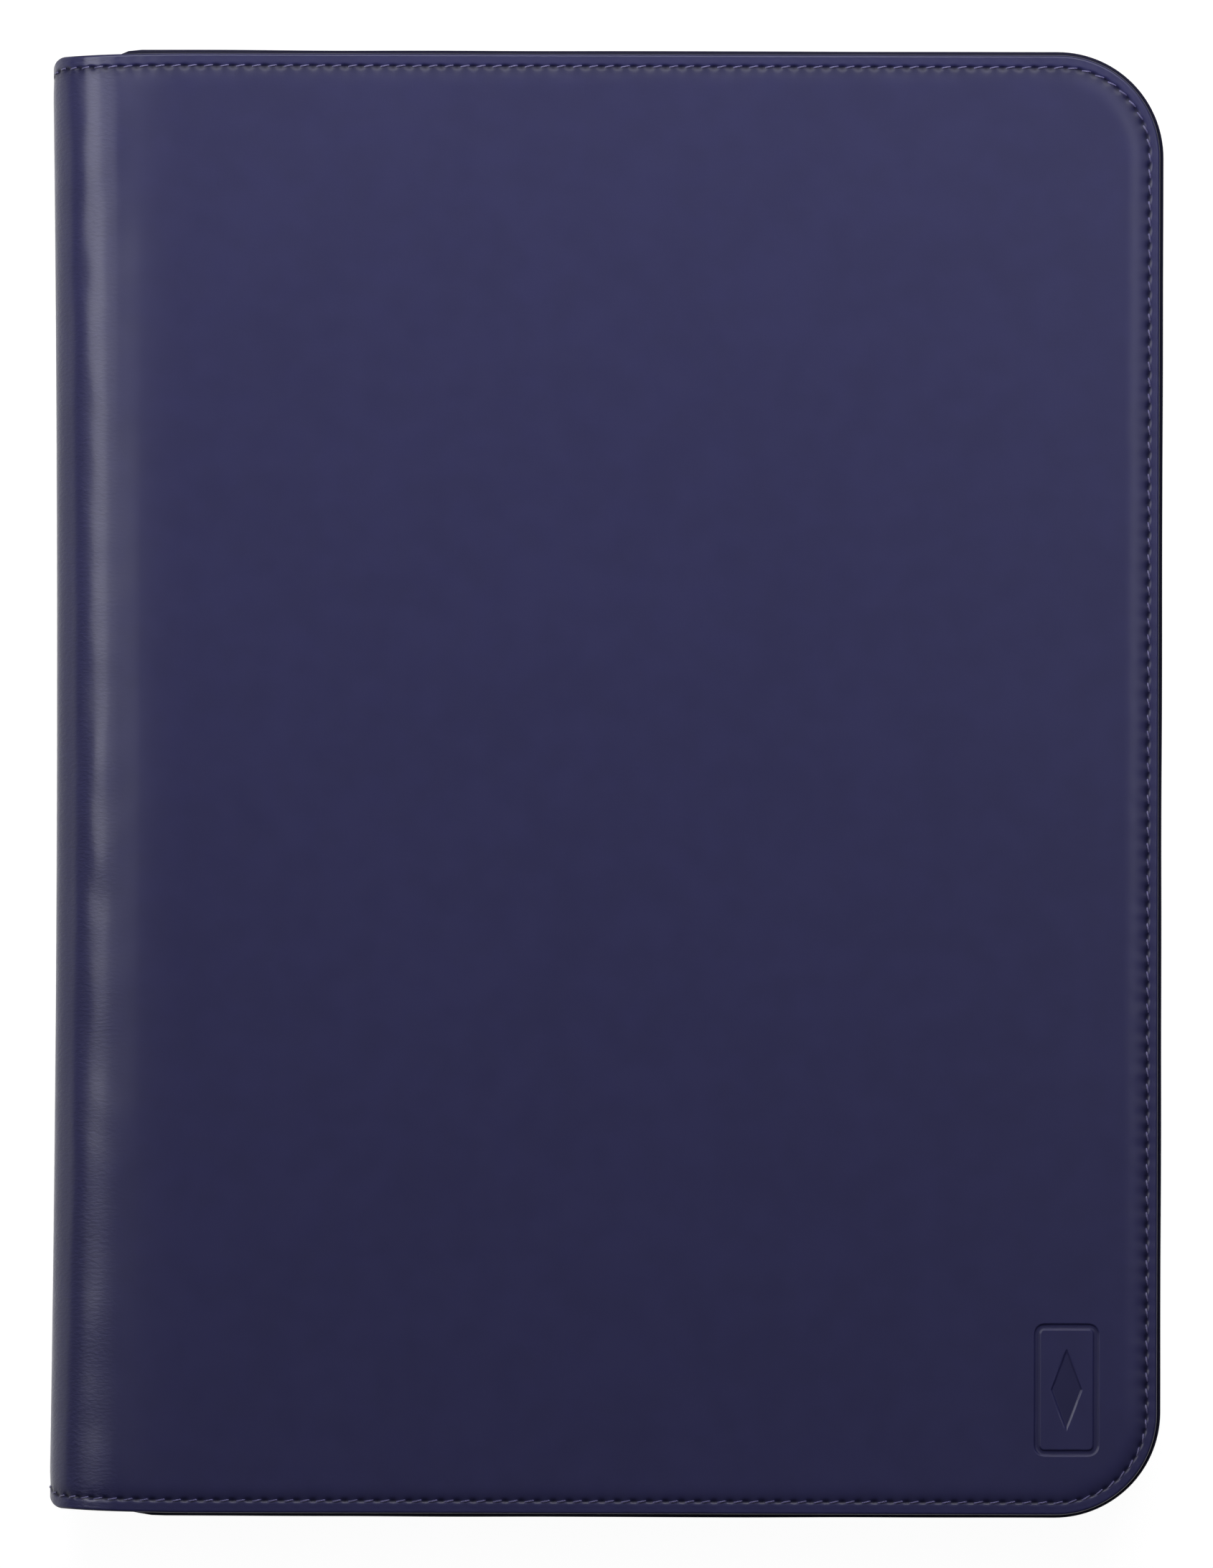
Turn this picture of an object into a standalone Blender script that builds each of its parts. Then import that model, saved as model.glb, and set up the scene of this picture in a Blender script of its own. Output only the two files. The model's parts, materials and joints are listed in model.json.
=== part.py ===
"""Zip-around folio case that holds a tablet on a folding stand and a slim wireless keyboard.

The closed case lies on its back cover: X across the covers with the spine at -X, Y along the spine, +Z up.
The origin is at the middle of the footprint, on the surface the case lies on. Sizes are in millimetres.
"""

import math

import bmesh
import bpy
from mathutils import Matrix, Vector

MM = 0.001

# Overall sizes
CASE_WIDTH = 254.3
CASE_LENGTH = 335.0
CORNER_RADIUS = 24.2
CORNER_STEPS = 8
GAP = 0.3

# Cover layers, from the outside in
SKIN = 1.0
PADDING = 0.9
BOARD = 1.5
LINING = 1.0
SKIN_RIM = 1.2
PADDING_SETBACK = 2.6
LINING_REACH = 7.0

# Spine: a roll of leather, half an ellipse in section, whose two sides bend as the covers open
HINGE_REACH = 6.0
ROLL_DEPTH = 15.5
ROLL_SKIN = 1.2
ROLL_STEPS = 9
SPINE_ANGLE = 38.0
SPINE_ANGLE_GAP = 1.3
SPINE_INSET = 0.5
SPINE_STIFFENER_SETBACK = 4.5
SPINE_STIFFENER_HEIGHT = 14.0
SPINE_BOARD = 1.4
SPINE_LINING = 0.7

# Closure: edge bands, tapes, teeth and slider, placed by their distance outwards from the covers' edge
BAND_OUT = 1.0
BAND_IN = -1.2
BAND_HEIGHT = 4.0
BAND_START = 13.15
TEETH_OUT = -1.6
TEETH_IN = -4.0
TEETH_HEIGHT = 2.0
TEETH_SLOT = 1.2
TEETH_START = 17.15
TAPE = 0.8
STOP_LENGTH = 1.3
SLIDER_START = 19.15
SLIDER_LENGTH = 10.0
SLIDER_HEIGHT = 8.0
SLIDER_PLATE = 0.7
SLIDER_WEB = 0.4
ARM_LENGTH = 2.8
ARM_HEIGHT = 0.8
PULL_OFFSET = -0.1
PULL_BARREL = 1.1
PULL_BORE = 0.65
PULL_PIN = 0.4
PULL_LENGTH = 24.0
PULL_THICKNESS = 1.0
PULL_CLEARANCE = 0.5

# Tablet tray and its stand
TABLET_THICKNESS = 6.8
TRAY_AXIS_SETBACK = 15.15
TRAY_AXIS_RISE = 1.9
TRAY_RISE = 1.3
TRAY_PLATE = 2.0
TRAY_SIDE_STRIP = 24.0
TRAY_END_STRIP = 10.85
LINER = 0.4
CLIP_WALL = 1.5
CLIP_LEG = 22.0
CLIP_LIP = 1.0
CLIP_LIP_DEPTH = 2.0
BARREL_RADIUS = 1.5
BARREL_HALF = 60.0
BLOCK_LENGTH = 8.0
BLOCK_FOOT = 6.0
PIN_RADIUS = 0.5
PIN_CLEARANCE = 0.3
LEG_END_MARGIN = 21.3
LEG_WIDTH = 54.0
LEG_PLATE = 1.6
LEG_BARREL = 1.3
LEG_SIDE_CLEARANCE = 3.0
FOOT_RADIUS = 1.4

# Keyboard
KEY_PITCH = 17.0
ROW_PITCH = 16.0
TOP_ROW_PITCH = 11.0
KEY_SPACING = 2.4
KEY_HOLE_CLEARANCE = 0.4
KEY_PROUD = 1.0
KEY_CLEARANCE = 0.5
KEY_PLATE = 0.8
KEY_MAT = 0.6
MEMBRANE = 0.3
KEYBOARD_CAVITY = 2.6
KEYBOARD_FLOOR = 0.8
KEYBOARD_WALL = 1.2
KEYBOARD_SETBACK = 19.15
KEYBOARD_BAR = 17.0
KEYBOARD_FRONT_EDGE = 3.0
KEYBOARD_SIDE_EDGE = 5.0
KEYBOARD_CORNER = 5.0
GRIP_PAD = 0.7

# What sits in the keyboard's bar, by its distance from the keyboard's right end
SWITCH_FROM_END = 44.0
SWITCH_SIZE = (3.0, 5.0)
SWITCH_TRAVEL = 3.0
BUTTON_FROM_END = 29.0
BUTTON_RADIUS = 2.4
LIGHT_FROM_END = 56.0
LIGHT_RADIUS = 1.0
PORT_FROM_END = 0.4
PORT_SIZE = (8.0, 6.0, 1.9)
CIRCUIT_FROM_END = 17.0
CIRCUIT_LENGTH = 53.0
CIRCUIT_THICKNESS = 0.8
BATTERY_CLEARANCE = 4.0
BATTERY_FAR_END = 84.0
KEY_ROWS = (
    (1.0,) * 14,
    (1.0,) * 12 + (2.0,),
    (1.5,) + (1.0,) * 11 + (1.5,),
    (1.75,) + (1.0,) * 10 + (2.25,),
    (2.25,) + (1.0,) * 9 + (2.75,),
    (1.0, 1.0, 1.0, 1.25, 5.0, 1.25, 1.0, 1.25, 1.25),
)

# Pockets and pen loop
POCKET = 0.8
POCKET_SETBACK = 11.0
POCKET_LENGTH = 104.0
POCKET_SPACING = 12.0
PEN_LOOP_WIDTH = 36.0
PEN_LOOP_WALL = 0.9
PEN_LOOP_EDGE = 5.5
PEN_LOOP_SPAN = 14.0

# Levels, from the surface the case lies on
COVER = SKIN + PADDING + BOARD + LINING + 3 * GAP
TRAY_LOW = COVER + TRAY_RISE
TRAY_HIGH = TRAY_LOW + TRAY_PLATE
TRAY_AXIS_Z = COVER + TRAY_AXIS_RISE
LINER_LOW = TRAY_HIGH + GAP
LINER_HIGH = LINER_LOW + LINER
TABLET_LOW = LINER_HIGH + GAP
TABLET_HIGH = TABLET_LOW + TABLET_THICKNESS
CLIP_HIGH = TABLET_HIGH + CLIP_LIP
KEY_TIP = CLIP_HIGH + KEY_CLEARANCE
PLATE_LOW = KEY_TIP + KEY_PROUD
PLATE_HIGH = PLATE_LOW + KEY_PLATE
SHELL_LOW = PLATE_HIGH + GAP
SHELL_CEILING = SHELL_LOW + KEYBOARD_CAVITY
SHELL_HIGH = SHELL_CEILING + KEYBOARD_FLOOR
FRONT_LINING = SHELL_HIGH + 2 * GAP + GRIP_PAD
CASE_THICKNESS = FRONT_LINING + COVER
MIDDLE = CASE_THICKNESS / 2

# Footprint
EDGE_X = CASE_WIDTH / 2 - BAND_OUT
EDGE_Y = CASE_LENGTH / 2 - BAND_OUT
COVER_RADIUS = CORNER_RADIUS - BAND_OUT
HINGE_X = -CASE_WIDTH / 2 + HINGE_REACH
ROLL_X = -CASE_WIDTH / 2 + ROLL_DEPTH
COVER_LEFT = ROLL_X + GAP
FRONT_AXIS_Z = CASE_THICKNESS - HINGE_REACH
TRAY_AXIS_X = HINGE_X + TRAY_AXIS_SETBACK
TRAY_LEFT = TRAY_AXIS_X + BARREL_RADIUS + GAP
TRAY_RIGHT = EDGE_X - TRAY_END_STRIP
TRAY_HALF = EDGE_Y - TRAY_SIDE_STRIP
LEG_REACH = (TRAY_RIGHT - TRAY_AXIS_X - LEG_END_MARGIN) / 2
LEG_AXIS_X = TRAY_AXIS_X + LEG_REACH
FOOT_X = LEG_AXIS_X + LEG_REACH
KEYBOARD_LEFT = HINGE_X + KEYBOARD_SETBACK
KEYS_LEFT = KEYBOARD_LEFT + KEYBOARD_BAR
KEYBOARD_RIGHT = KEYS_LEFT + TOP_ROW_PITCH + 5 * ROW_PITCH + KEYBOARD_FRONT_EDGE
KEYS_HALF = 7 * KEY_PITCH
KEYBOARD_HALF = KEYS_HALF + KEYBOARD_SIDE_EDGE
BAR_MIDDLE = KEYBOARD_LEFT + KEYBOARD_BAR / 2
SWITCH_Y = SWITCH_FROM_END - KEYBOARD_HALF
BUTTON_Y = BUTTON_FROM_END - KEYBOARD_HALF
LIGHT_Y = LIGHT_FROM_END - KEYBOARD_HALF
CIRCUIT_Y = CIRCUIT_FROM_END - KEYBOARD_HALF
BATTERY_Y = CIRCUIT_Y + CIRCUIT_LENGTH + BATTERY_CLEARANCE
SLIDER_LEFT = HINGE_X + SLIDER_START
SLIDER_RIGHT = SLIDER_LEFT + SLIDER_LENGTH
PULL_X = SLIDER_RIGHT + PULL_BARREL + PULL_CLEARANCE
PULL_Y = -(EDGE_Y + PULL_OFFSET)

# Joint axes: body -> (parent body, point on its axis)
PIVOTS = {
    "spine": (None, (HINGE_X, 0, HINGE_REACH)),
    "front_cover": ("spine", (HINGE_X, 0, FRONT_AXIS_Z)),
    "tray": (None, (TRAY_AXIS_X, 0, TRAY_AXIS_Z)),
    "leg": ("tray", (LEG_AXIS_X, 0, TRAY_AXIS_Z)),
    "slider": (None, (SLIDER_LEFT, -EDGE_Y, MIDDLE)),
    "puller": ("slider", (PULL_X, PULL_Y, MIDDLE)),
    "switch": ("front_cover", (BAR_MIDDLE, SWITCH_Y, PLATE_LOW)),
    "button": ("front_cover", (BAR_MIDDLE, BUTTON_Y, PLATE_LOW)),
}

# Colour, roughness, metallic
MATERIALS = {
    "leather": ((0.033, 0.032, 0.085), 0.5, 0.0),
    "edge_leather": ((0.024, 0.022, 0.062), 0.55, 0.0),
    "lining_fabric": ((0.045, 0.045, 0.06), 0.9, 0.0),
    "board": ((0.32, 0.28, 0.22), 0.9, 0.0),
    "foam": ((0.5, 0.5, 0.5), 0.95, 0.0),
    "zip_tape": ((0.02, 0.02, 0.05), 0.85, 0.0),
    "zip_teeth": ((0.025, 0.025, 0.055), 0.4, 0.0),
    "zip_metal": ((0.30, 0.30, 0.32), 0.3, 1.0),
    "steel": ((0.45, 0.45, 0.46), 0.35, 1.0),
    "tray_plastic": ((0.02, 0.02, 0.024), 0.5, 0.0),
    "tray_liner": ((0.06, 0.06, 0.075), 0.95, 0.0),
    "rubber": ((0.02, 0.02, 0.02), 0.8, 0.0),
    "keyboard_plastic": ((0.03, 0.03, 0.034), 0.45, 0.0),
    "key_rubber": ((0.018, 0.018, 0.02), 0.6, 0.0),
    "membrane": ((0.5, 0.52, 0.5), 0.4, 0.0),
    "circuit_board": ((0.02, 0.14, 0.06), 0.5, 0.0),
    "battery_foil": ((0.55, 0.55, 0.58), 0.35, 0.0),
    "light_lens": ((0.6, 0.75, 0.7), 0.2, 0.0),
    "elastic": ((0.02, 0.02, 0.03), 0.9, 0.0),
}


# Scene set-up

def clear_scene():
    for obj in list(bpy.data.objects):
        bpy.data.objects.remove(obj, do_unlink=True)


def new_collection(name):
    collection = bpy.data.collections.new(name)
    bpy.context.scene.collection.children.link(collection)
    return collection


def make_materials():
    made = {}
    for name, (colour, roughness, metallic) in MATERIALS.items():
        material = bpy.data.materials.new(name)
        material.use_nodes = True
        shader = material.node_tree.nodes["Principled BSDF"]
        shader.inputs["Base Color"].default_value = (*colour, 1.0)
        shader.inputs["Roughness"].default_value = roughness
        shader.inputs["Metallic"].default_value = metallic
        made[name] = material
    return made


def make_pivots(collection):
    """An empty on each joint's axis, parented as the bodies are."""
    made = {}
    for body, (parent, point) in PIVOTS.items():
        empty = bpy.data.objects.new(body + "_axis", None)
        collection.objects.link(empty)
        base = Vector(PIVOTS[parent][1]) if parent else Vector()
        empty.location = (Vector(point) - base) * MM
        empty.parent = made.get(parent)
        made[body] = empty
    return made


clear_scene()
PARTS = new_collection("tablet_keyboard_case")
CUTTERS = new_collection("cutters")
PAINT = make_materials()
AXES = make_pivots(PARTS)


# Shapes: each function returns a bmesh in case coordinates, in millimetres

def block(x, y, z):
    """A box from its (low, high) pairs."""
    bm = bmesh.new()
    bmesh.ops.create_cube(bm, size=1.0)
    size = Vector((x[1] - x[0], y[1] - y[0], z[1] - z[0]))
    middle = Vector((x[0] + x[1], y[0] + y[1], z[0] + z[1])) / 2
    bmesh.ops.scale(bm, vec=size, verts=bm.verts)
    bmesh.ops.translate(bm, vec=middle, verts=bm.verts)
    return bm


def prism(points, span, axis="Z"):
    """A closed outline extruded along axis. Its points are (x, y), or (y, z) for X, or (x, z) for Y."""
    low, high = span
    place = {
        "X": lambda p: (low, p[0], p[1]),
        "Y": lambda p: (p[0], low, p[1]),
        "Z": lambda p: (p[0], p[1], low),
    }[axis]
    step = {"X": (1, 0, 0), "Y": (0, 1, 0), "Z": (0, 0, 1)}[axis]
    bm = bmesh.new()
    face = bm.faces.new([bm.verts.new(place(p)) for p in points])
    moved = bmesh.ops.extrude_face_region(bm, geom=[face])["geom"]
    verts = [v for v in moved if isinstance(v, bmesh.types.BMVert)]
    bmesh.ops.translate(bm, vec=Vector(step) * (high - low), verts=verts)
    bmesh.ops.recalc_face_normals(bm, faces=bm.faces)
    return bm


def tray_shape(points, span, wall, depth, opens_up=True):
    """A prism along Z with a rim: its top (or bottom) is sunk by depth, a wall's width in from the edge."""
    bm = prism(points, span)
    direction = 1 if opens_up else -1
    face = max(bm.faces, key=lambda f: direction * f.calc_center_median().z)
    bmesh.ops.inset_region(bm, faces=[face], thickness=wall, use_even_offset=True)
    moved = bmesh.ops.extrude_face_region(bm, geom=[face])["geom"]
    verts = [v for v in moved if isinstance(v, bmesh.types.BMVert)]
    bmesh.ops.translate(bm, vec=(0, 0, -direction * depth), verts=verts)
    bmesh.ops.delete(bm, geom=[face], context="FACES_ONLY")
    bmesh.ops.recalc_face_normals(bm, faces=bm.faces)
    return bm


def rod(centre, radius, span, axis="Y", segments=16):
    """A cylinder along axis. centre is its (x, z), or (x, y) for Z."""
    bm = bmesh.new()
    middle = (span[0] + span[1]) / 2
    bmesh.ops.create_cone(
        bm, cap_ends=True, segments=segments, radius1=radius, radius2=radius, depth=span[1] - span[0]
    )
    if axis == "Y":
        bmesh.ops.rotate(bm, matrix=Matrix.Rotation(math.pi / 2, 3, "X"), verts=bm.verts)
        bmesh.ops.translate(bm, vec=(centre[0], middle, centre[1]), verts=bm.verts)
    else:
        bmesh.ops.translate(bm, vec=(centre[0], centre[1], middle), verts=bm.verts)
    return bm


def arc(centre, radius, start, end, steps):
    """Points on an arc, angles in degrees."""
    angles = [math.radians(start + (end - start) * i / steps) for i in range(steps + 1)]
    return [(centre[0] + radius * math.cos(a), centre[1] + radius * math.sin(a)) for a in angles]


def rounded_rectangle(x, y, radius, steps=5):
    corners = (
        ((x[1] - radius, y[0] + radius), -90),
        ((x[1] - radius, y[1] - radius), 0),
        ((x[0] + radius, y[1] - radius), 90),
        ((x[0] + radius, y[0] + radius), 180),
    )
    return [p for centre, start in corners for p in arc(centre, radius, start, start + 90, steps)]


def rim_path(offset, start_x):
    """The way round the covers' three free edges, offset outwards, from -Y to +Y."""
    centre_x = EDGE_X - COVER_RADIUS
    centre_y = EDGE_Y - COVER_RADIUS
    radius = COVER_RADIUS + offset
    path = [(start_x, -EDGE_Y - offset)]
    path += arc((centre_x, -centre_y), radius, -90, 0, CORNER_STEPS)
    path += arc((centre_x, centre_y), radius, 0, 90, CORNER_STEPS)
    path.append((start_x, EDGE_Y + offset))
    return path


def cover_outline(inset, left=COVER_LEFT):
    return rim_path(-inset, left + inset)


def rim_band(outer, inner, start_x, span):
    """A strip that runs round the three free edges, between two offsets."""
    return prism(rim_path(outer, start_x) + rim_path(inner, start_x)[::-1], span)


# Nodes

def flip_to_front(bm):
    """Mirrors a back-cover shape to the front cover."""
    for vert in bm.verts:
        vert.co.z = CASE_THICKNESS - vert.co.z
    bmesh.ops.reverse_faces(bm, faces=bm.faces)
    return bm


def mesh_object(name, bm, collection, pivot):
    for vert in bm.verts:
        vert.co = (vert.co - pivot) * MM
    mesh = bpy.data.meshes.new(name)
    bm.to_mesh(mesh)
    bm.free()
    obj = bpy.data.objects.new(name, mesh)
    collection.objects.link(obj)
    return obj


def node(name, body, bm, material):
    """One piece of the case, with its origin on its body's joint axis."""
    pivot = Vector(PIVOTS[body][1]) if body in PIVOTS else Vector()
    obj = mesh_object(name, bm, PARTS, pivot)
    obj.parent = AXES.get(body)
    obj.data.materials.append(PAINT[material])
    obj.data.shade_smooth()
    obj.data.set_sharp_from_angle(angle=math.radians(35))
    return obj


def combine(obj, bm, operation):
    cutter = mesh_object(f"{obj.name}_{operation.lower()}_{len(obj.modifiers)}", bm, CUTTERS, Vector())
    cutter.hide_render = True
    cutter.display_type = "WIRE"
    modifier = obj.modifiers.new(operation.title(), "BOOLEAN")
    modifier.operation = operation
    modifier.solver = "EXACT"
    modifier.object = cutter


# Covers and spine

def build_cover(side, body, shape_side):
    """One cover: leather turned over its three free edges, padding, board and lining."""
    leather = node(f"{side}_cover_leather", body, shape_side(prism(cover_outline(0), (0, SKIN))), "leather")
    turned_edge = rim_band(0, -SKIN_RIM, COVER_LEFT, (SKIN / 2, COVER - GAP))
    combine(leather, shape_side(turned_edge), "UNION")
    low = SKIN + GAP
    for layer, thickness, setback, left, material in (
        ("padding", PADDING, PADDING_SETBACK, COVER_LEFT, "foam"),
        ("board", BOARD, 0, COVER_LEFT, "board"),
        ("lining", LINING, 0, COVER_LEFT - LINING_REACH, "lining_fabric"),
    ):
        bm = prism(cover_outline(SKIN_RIM + GAP + setback, left), (low, low + thickness))
        node(f"{side}_cover_{layer}", body, shape_side(bm), material)
        low += thickness + GAP


def build_closure(side, body, shape_side):
    """The edge band, zip tape and row of teeth on one cover."""
    base = COVER + GAP
    teeth_high = MIDDLE - TEETH_SLOT / 2
    teeth_low = teeth_high - TEETH_HEIGHT
    tape_out = (TEETH_OUT + TEETH_IN + TAPE) / 2
    band = rim_band(BAND_OUT, BAND_IN, HINGE_X + BAND_START, (base, base + BAND_HEIGHT))
    tape = rim_band(tape_out, tape_out - TAPE, HINGE_X + TEETH_START, (base, teeth_low - GAP))
    teeth = rim_band(TEETH_OUT, TEETH_IN, HINGE_X + TEETH_START, (teeth_low, teeth_high))
    node(f"{side}_edge_band", body, shape_side(band), "edge_leather")
    node(f"{side}_zip_tape", body, shape_side(tape), "zip_tape")
    node(f"{side}_zip_teeth", body, shape_side(teeth), "zip_teeth")


def roll_arc(inset, start, end):
    """Points of the roll's ellipse from one angle to another, in degrees from the spine's middle."""
    angles = [math.radians(start + (end - start) * i / ROLL_STEPS) for i in range(ROLL_STEPS + 1)]
    across = ROLL_DEPTH - inset
    rise = MIDDLE - inset
    return [(ROLL_X - across * math.cos(a), MIDDLE + rise * math.sin(a)) for a in angles]


def build_roll(name, body, start, end):
    half = EDGE_Y - SPINE_INSET
    section = roll_arc(0, start, end) + roll_arc(ROLL_SKIN, end, start)
    node(name, body, prism(section, (-half, half), "Y"), "leather")


def build_spine():
    side_start = SPINE_ANGLE + SPINE_ANGLE_GAP
    build_roll("spine_leather", "spine", -SPINE_ANGLE, SPINE_ANGLE)
    build_roll("front_hinge_leather", "spine", side_start, 90)
    build_roll("back_hinge_leather", "back_cover", -90, -side_start)
    span = (MIDDLE - SPINE_STIFFENER_HEIGHT / 2, MIDDLE + SPINE_STIFFENER_HEIGHT / 2)
    left = -CASE_WIDTH / 2 + SPINE_STIFFENER_SETBACK
    half = EDGE_Y - SPINE_INSET
    for name, thickness, inset, material in (
        ("spine_board", SPINE_BOARD, 7, "board"),
        ("spine_lining", SPINE_LINING, 6, "lining_fabric"),
    ):
        node(name, "spine", block((left, left + thickness), (inset - half, half - inset), span), material)
        left += thickness + GAP


# Zip slider and puller

def build_zip_stops():
    right = HINGE_X + TEETH_START - GAP
    high = MIDDLE - TEETH_SLOT / 2 + 0.2
    low = high - TEETH_HEIGHT - 0.4
    outer = EDGE_Y + TEETH_OUT + 0.2
    inner = EDGE_Y + TEETH_IN - 0.2
    for name, y in (("zip_open_stop", (-outer, -inner)), ("zip_closed_stop", (inner, outer))):
        node(name, "back_cover", block((right - STOP_LENGTH, right), y, (low, high)), "zip_metal")


def build_slider():
    """Two plates beside the teeth, a web between the rows, and two arms that hold the puller's pin."""
    z = (MIDDLE - SLIDER_HEIGHT / 2, MIDDLE + SLIDER_HEIGHT / 2)
    web = (MIDDLE - SLIDER_WEB / 2, MIDDLE + SLIDER_WEB / 2)
    outer = -(EDGE_Y + TEETH_OUT + GAP)
    inner = -(EDGE_Y + TEETH_IN - GAP)
    profile = [
        (outer - SLIDER_PLATE, z[0]), (outer, z[0]), (outer, web[0]), (inner, web[0]),
        (inner, z[0]), (inner + SLIDER_PLATE, z[0]), (inner + SLIDER_PLATE, z[1]), (inner, z[1]),
        (inner, web[1]), (outer, web[1]), (outer, z[1]), (outer - SLIDER_PLATE, z[1]),
    ]
    slider = node("zip_slider", "slider", prism(profile, (SLIDER_LEFT, SLIDER_RIGHT), "X"), "zip_metal")
    arm_x = (SLIDER_RIGHT - 1, SLIDER_RIGHT + ARM_LENGTH)
    arm_y = (-(EDGE_Y + BAND_OUT - 0.1), outer - 0.1)
    combine(slider, block(arm_x, arm_y, (z[0], z[0] + ARM_HEIGHT)), "UNION")
    combine(slider, block(arm_x, arm_y, (z[1] - ARM_HEIGHT, z[1])), "UNION")
    pin = (z[0] + ARM_HEIGHT + 0.05, z[1] - ARM_HEIGHT - 0.05)
    node("puller_pin", "slider", rod((PULL_X, PULL_Y), PULL_PIN, pin, "Z", 10), "steel")
    span = (pin[0] + 0.25, pin[1] - 0.25)
    half = PULL_THICKNESS / 2
    width = (span[1] - span[0]) / 2
    tab = [(PULL_X, span[0])]
    tab += arc((PULL_X + PULL_LENGTH - width, MIDDLE), width, -90, 90, 8)
    tab.append((PULL_X, span[1]))
    puller = node("zip_puller", "puller", prism(tab, (PULL_Y - half, PULL_Y + half), "Y"), "zip_metal")
    combine(puller, rod((PULL_X, PULL_Y), PULL_BARREL, span, "Z", 16), "UNION")
    bore = (span[0] - 1, span[1] + 1)
    combine(puller, rod((PULL_X, PULL_Y), PULL_BORE, bore, "Z", 12), "DIFFERENCE")


# Tablet tray and stand

def build_tray():
    y = (-TRAY_HALF, TRAY_HALF)
    outline = rounded_rectangle((TRAY_LEFT, TRAY_RIGHT), y, 6.0)
    tray = node("tablet_tray", "tray", prism(outline, (TRAY_LOW, TRAY_HIGH)), "tray_plastic")
    opening = LEG_WIDTH / 2 + LEG_SIDE_CLEARANCE
    leg_space = (LEG_AXIS_X - LEG_SIDE_CLEARANCE, FOOT_X + FOOT_RADIUS + 2)
    combine(tray, block(leg_space, (-opening, opening), (TRAY_LOW - 1, TRAY_HIGH + 1)), "DIFFERENCE")
    liner = rounded_rectangle(
        (TRAY_LEFT + 5, TRAY_RIGHT - 5), (-TRAY_HALF + 5, TRAY_HALF - 5), 6.0
    )
    node("tray_liner", "tray", prism(liner, (LINER_LOW, LINER_HIGH)), "tray_liner")
    for number, (end_x, end_y) in enumerate(((0, 0), (1, 0), (1, 1), (0, 1)), 1):
        build_clip(number, end_x, end_y)


def build_clip(number, end_x, end_y):
    """A corner clip: two walls and a lip that reaches over the tablet's corner."""
    x = TRAY_RIGHT if end_x else TRAY_LEFT + 0.2
    y = TRAY_HALF if end_y else -TRAY_HALF
    dx = -1 if end_x else 1
    dy = -1 if end_y else 1
    lip = CLIP_WALL + CLIP_LIP_DEPTH
    shape = ((0, 0), (CLIP_LEG, 0), (CLIP_LEG, lip), (lip, CLIP_LEG), (0, CLIP_LEG))
    bm = prism([(x + dx * a, y + dy * b) for a, b in shape], (LINER_LOW, CLIP_HIGH))
    clip = node(f"corner_clip_{number}", "tray", bm, "tray_plastic")
    cut_x = sorted((x + dx * CLIP_WALL, x + dx * (CLIP_LEG + 5)))
    cut_y = sorted((y + dy * CLIP_WALL, y + dy * (CLIP_LEG + 5)))
    combine(clip, block(cut_x, cut_y, (LINER_LOW - 1, TABLET_HIGH)), "DIFFERENCE")


def build_tray_hinge():
    axis = (TRAY_AXIS_X, TRAY_AXIS_Z)
    bore = PIN_RADIUS + PIN_CLEARANCE
    barrel = (-BARREL_HALF, BARREL_HALF)
    tube = node("tray_hinge_barrel", "tray", rod(axis, BARREL_RADIUS, barrel), "tray_plastic")
    combine(tube, rod(axis, bore, (barrel[0] - 1, barrel[1] + 1), segments=12), "DIFFERENCE")
    reach = BARREL_HALF + 1 + BLOCK_LENGTH
    node("tray_hinge_pin", "back_cover", rod(axis, PIN_RADIUS, (-reach, reach), segments=10), "steel")
    for name, side in (("hinge_block_left", 1), ("hinge_block_right", -1)):
        y = sorted((side * (BARREL_HALF + 1), side * reach))
        foot = block((TRAY_AXIS_X - BLOCK_FOOT, TRAY_AXIS_X), y, (COVER + GAP, TRAY_AXIS_Z))
        bearing = node(name, "back_cover", rod(axis, BARREL_RADIUS, y), "tray_plastic")
        combine(bearing, foot, "UNION")
        combine(bearing, rod(axis, bore, (y[0] - 1, y[1] + 1), segments=12), "DIFFERENCE")


def build_leg():
    axis = (LEG_AXIS_X, TRAY_AXIS_Z)
    half = LEG_WIDTH / 2
    plate_z = (TRAY_AXIS_Z - LEG_PLATE / 2, TRAY_AXIS_Z + LEG_PLATE / 2)
    plate_x = (LEG_AXIS_X + 1, FOOT_X - FOOT_RADIUS - GAP)
    leg = node("stand_leg", "leg", block(plate_x, (-half, half), plate_z), "steel")
    combine(leg, rod(axis, LEG_BARREL, (-half, half)), "UNION")
    bore = PIN_RADIUS + PIN_CLEARANCE
    combine(leg, rod(axis, bore, (-half - 1, half + 1), segments=12), "DIFFERENCE")
    pin = half + LEG_SIDE_CLEARANCE - GAP
    node("leg_pin", "tray", rod(axis, PIN_RADIUS, (-pin, pin), segments=10), "steel")
    foot = rod((FOOT_X, TRAY_AXIS_Z), FOOT_RADIUS, (-half, half))
    node("stand_foot", "leg", foot, "rubber")


# Keyboard

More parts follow.
